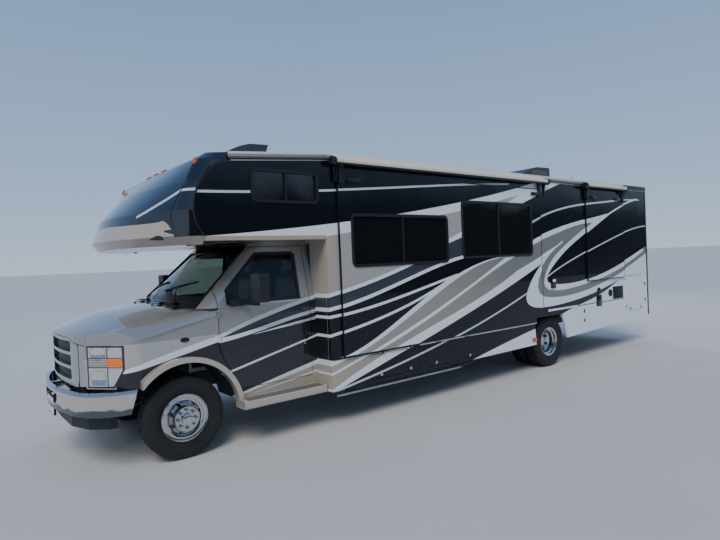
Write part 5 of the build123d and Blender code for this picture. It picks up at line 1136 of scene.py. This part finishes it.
# a bar and a box beside each arm: x from and to, y out from the room's face, z down from the roll, bevel
ARM_BOXES = [(0, 0.16, 0.012, 0.200, 0.182, 0.003), (0.15, 0.32, 0.024, 0.215, 0.165, 0.006)]
RAIL_Y, RAIL_Z = 1.252, 2.9435
ROLL_TOP = 0.0415
FABRIC_GRID = (48, 10)
FABRIC_THICKNESS, SAG, RIPPLE = 0.0012, 0.006, 0.0015
for name, front_x, rear_x, roll_z in TOPPERS:
    body = f"slide_{name}"
    ends, arms = [], []
    for x, way in ((front_x, 1), (rear_x, -1)):
        ends.append(turned(ROLL_END, at(x + way * 0.012, ROLL_Y, roll_z), (way, 0, 0), 32))
        x -= way * ARM_INSET
        low, foot, high = (at(x, FASCIA_Y + 0.006, roll_z - down) for down in (0.21, 0.17, 0.02))
        arms += [strap(low, high, 0.06, 0.014),
                 strap(foot, at(x, ROLL_Y - 0.010, roll_z - 0.045), 0.03, 0.010, (1, 0, 0))]
        for near, rear_shade, proud, down, up, bevel in ARM_BOXES:
            arms.append(block(x - way * near, x - way * rear_shade, FASCIA_Y, FASCIA_Y + proud,
                              roll_z - down, roll_z - up, bevel))
    piece(f"topper_ends_{name}", ends, GLOSS_BLACK, body)
    piece(f"topper_arms_{name}", arms, GLOSS_BLACK, body)
    form = bmesh.new()
    bmesh.ops.create_grid(form, x_segments=FABRIC_GRID[0], y_segments=FABRIC_GRID[1], size=0.5)
    length = front_x - rear_x - 0.05
    out, drop = ROLL_Y - RAIL_Y, roll_z + ROLL_TOP - RAIL_Z
    for vert in form.verts:
        along, across = vert.co.x, vert.co.y + 0.5
        sag = SAG * sin(pi * across) + RIPPLE * sin(along * 60) * across
        vert.co = at((front_x + rear_x) / 2 + along * length, RAIL_Y + across * out,
                     RAIL_Z + across * drop - sag)
    cloth_piece = piece(f"topper_fabric_{name}", [form], AWNING, None)
    thick = cloth_piece.modifiers.new("thickness", "SOLIDIFY")
    thick.thickness = FABRIC_THICKNESS
    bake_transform(cloth_piece)


# Cap, roof, entry side and rear

CLEARANCE_LAMP = [(0.022, -0.008), (0.022, 0.003), (0.018, 0.011), (0.009, 0.015), (0, 0.016)]
lamps = [turned(CLEARANCE_LAMP, *meet(cap_skin, at(1.5, y, z), (-1, 0, 0)), 24, (1, 1.7, 1))
         for y, z in ((-1.178, 2.755), (-0.25, 2.800), (0, 2.800), (0.25, 2.800), (1.178, 2.755))]
piece("clearance_lamps_front", lamps, AMBER)

louvres = []
for z in (3.10 + row * 0.032 for row in range(5)):
    for side, _ in SIDES:
        louvres += on_side(side, [block(-7.08, -6.62, 0.366, 0.376, z, z + 0.016, 0.003)])
piece("cooler_louvres", louvres, GREY_PLASTIC)

GRAB_X = -5.085
GRAB_FOOT = [(0.026, 0), (0.026, 0.006), (0.016, 0.012), (0, 0.012)]
grab = [rod(at(GRAB_X, -1.312, 1.15), at(GRAB_X, -1.312, 1.75), 0.014)]
for z in (1.17, 1.73):
    grab.append(rod(at(GRAB_X, -1.258, z), at(GRAB_X, -1.316, z), 0.013))
    grab.append(turned(GRAB_FOOT, at(GRAB_X, -1.261, z), (0, -1, 0)))
piece("grab_handle", grab, GLOSS_BLACK)
porch = [block(GRAB_X - 0.09, GRAB_X + 0.09, 1.258, 1.292, 2.02, 2.09, 0.012)]
piece("porch_light", on_side(-1, porch), WHITE_PLASTIC)
piece("number_plate_rear", [block(-9.078, -9.072, 0.55, 0.855, 0.452, 0.604, 0.001)], WHITE_PLASTIC)


# Camera, floor and light

FOCAL_PIXELS, PHOTO_WIDTH, SENSOR_WIDTH = 536.73, 720, 36
CAMERA_PLACE = (1.7735, 5.9255, 1.7833)
CAMERA_TURN = (-128.4017, -1.0486, -2.5054)  # yaw, pitch and roll in degrees


def place_camera():
    """The photograph's viewpoint."""
    yaw, pitch, roll = (radians(angle) for angle in CAMERA_TURN)
    ahead = Vector((cos(yaw) * cos(pitch), sin(yaw) * cos(pitch), sin(pitch)))
    right = ahead.cross(Vector((0, 0, 1))).normalized()
    up = right.cross(ahead)
    turned_right = right * cos(roll) + up * sin(roll)
    turned_up = up * cos(roll) - right * sin(roll)
    data = bpy.data.cameras.new("photo_camera")
    data.sensor_width = SENSOR_WIDTH
    data.lens = FOCAL_PIXELS / PHOTO_WIDTH * SENSOR_WIDTH
    data.clip_end = 2500
    camera = link("photo_camera", data)
    turn = Matrix((turned_right, turned_up, -ahead)).transposed().to_4x4()
    camera.matrix_world = Matrix.Translation(at(*CAMERA_PLACE)) @ turn
    bpy.context.scene.camera = camera


def stage_sheet(name, finish, place):
    """A rectangle for the stage, its corners placed from -1 or 1 along each side."""
    mesh = bpy.data.meshes.new(name)
    form = bmesh.new()
    bmesh.ops.create_grid(form, x_segments=1, y_segments=1, size=1)
    for vert in form.verts:
        vert.co = place(vert.co.x, vert.co.y)
    form.to_mesh(mesh)
    form.free()
    mesh.materials.append(finish.material)
    return link(name, mesh)


def build_stage():
    """The pale floor and a dark screen behind the camera, fading upwards, for the paint to mirror."""
    finish = Finish("pale_floor")
    finish.set(base_color=finish.mix((0.56, 0.55, 0.53), (0.52, 0.51, 0.49), finish.noise(0.7, 3.0)),
               roughness=0.7)
    floor = stage_sheet("floor", finish, lambda x, y: Vector((x * 1200, y * 1200, 0)))
    finish = Finish("dark_screen")
    z = finish.split()[2]
    edge = finish.noise(0.5, 5.0, 0.7)
    finish.set(base_color=finish.mix((0.012, 0.014, 0.012), (0.035, 0.035, 0.030), edge), roughness=0.9,
               alpha=((4.6 - z + edge * 3.0) * 0.6).clamped())
    screen = stage_sheet("dark_screen", finish, lambda x, y: Vector((-24 + x * 38, 17, 3.6 + y * 3.6)))
    screen.visible_camera = screen.visible_diffuse = screen.visible_shadow = False


SKY = (0.0, (0.50, 0.60, 0.72)), (0.12, (0.36, 0.50, 0.70)), (0.65, (0.10, 0.22, 0.50))  # by height


def build_sky():
    world = bpy.data.worlds.new("studio")
    world.use_nodes = True
    tree = world.node_tree
    place, apart, ramp = (tree.nodes.new("ShaderNode" + kind)
                          for kind in ("TexCoord", "SeparateXYZ", "ValToRGB"))
    background = tree.nodes["Background"]
    tree.links.new(place.outputs["Generated"], apart.inputs[0])
    tree.links.new(apart.outputs[2], ramp.inputs[0])
    tree.links.new(ramp.outputs[0], background.inputs[0])
    stops = ramp.color_ramp.elements
    for index, (position, colour) in enumerate(SKY):
        stop = stops[index] if index < 2 else stops.new(position)
        stop.position = position
        stop.color = (*colour, 1)
    background.inputs[1].default_value = 1.15
    bpy.context.scene.world = world


def place_lights():
    """The low sun, and a soft light from behind on the far side. Neither shows in the paint."""
    sun = bpy.data.lights.new("key", "SUN")
    sun.energy, sun.color, sun.angle = 2.6, (1, 0.94, 0.84), radians(30)
    key = link("key", sun)
    key.rotation_euler = Vector((-5, -4.5, -8)).to_track_quat("-Z", "Y").to_euler()
    soft = bpy.data.lights.new("back", "AREA")
    soft.shape = "RECTANGLE"
    soft.size, soft.size_y, soft.energy = 8, 5, 500
    back = link("back", soft)
    back.location = (-10, -9, 8)
    back.rotation_euler = (Vector((0, 0, 2)) - back.location).to_track_quat("-Z", "Y").to_euler()
    key.visible_glossy = back.visible_glossy = False


place_camera()
build_stage()
build_sky()
place_lights()
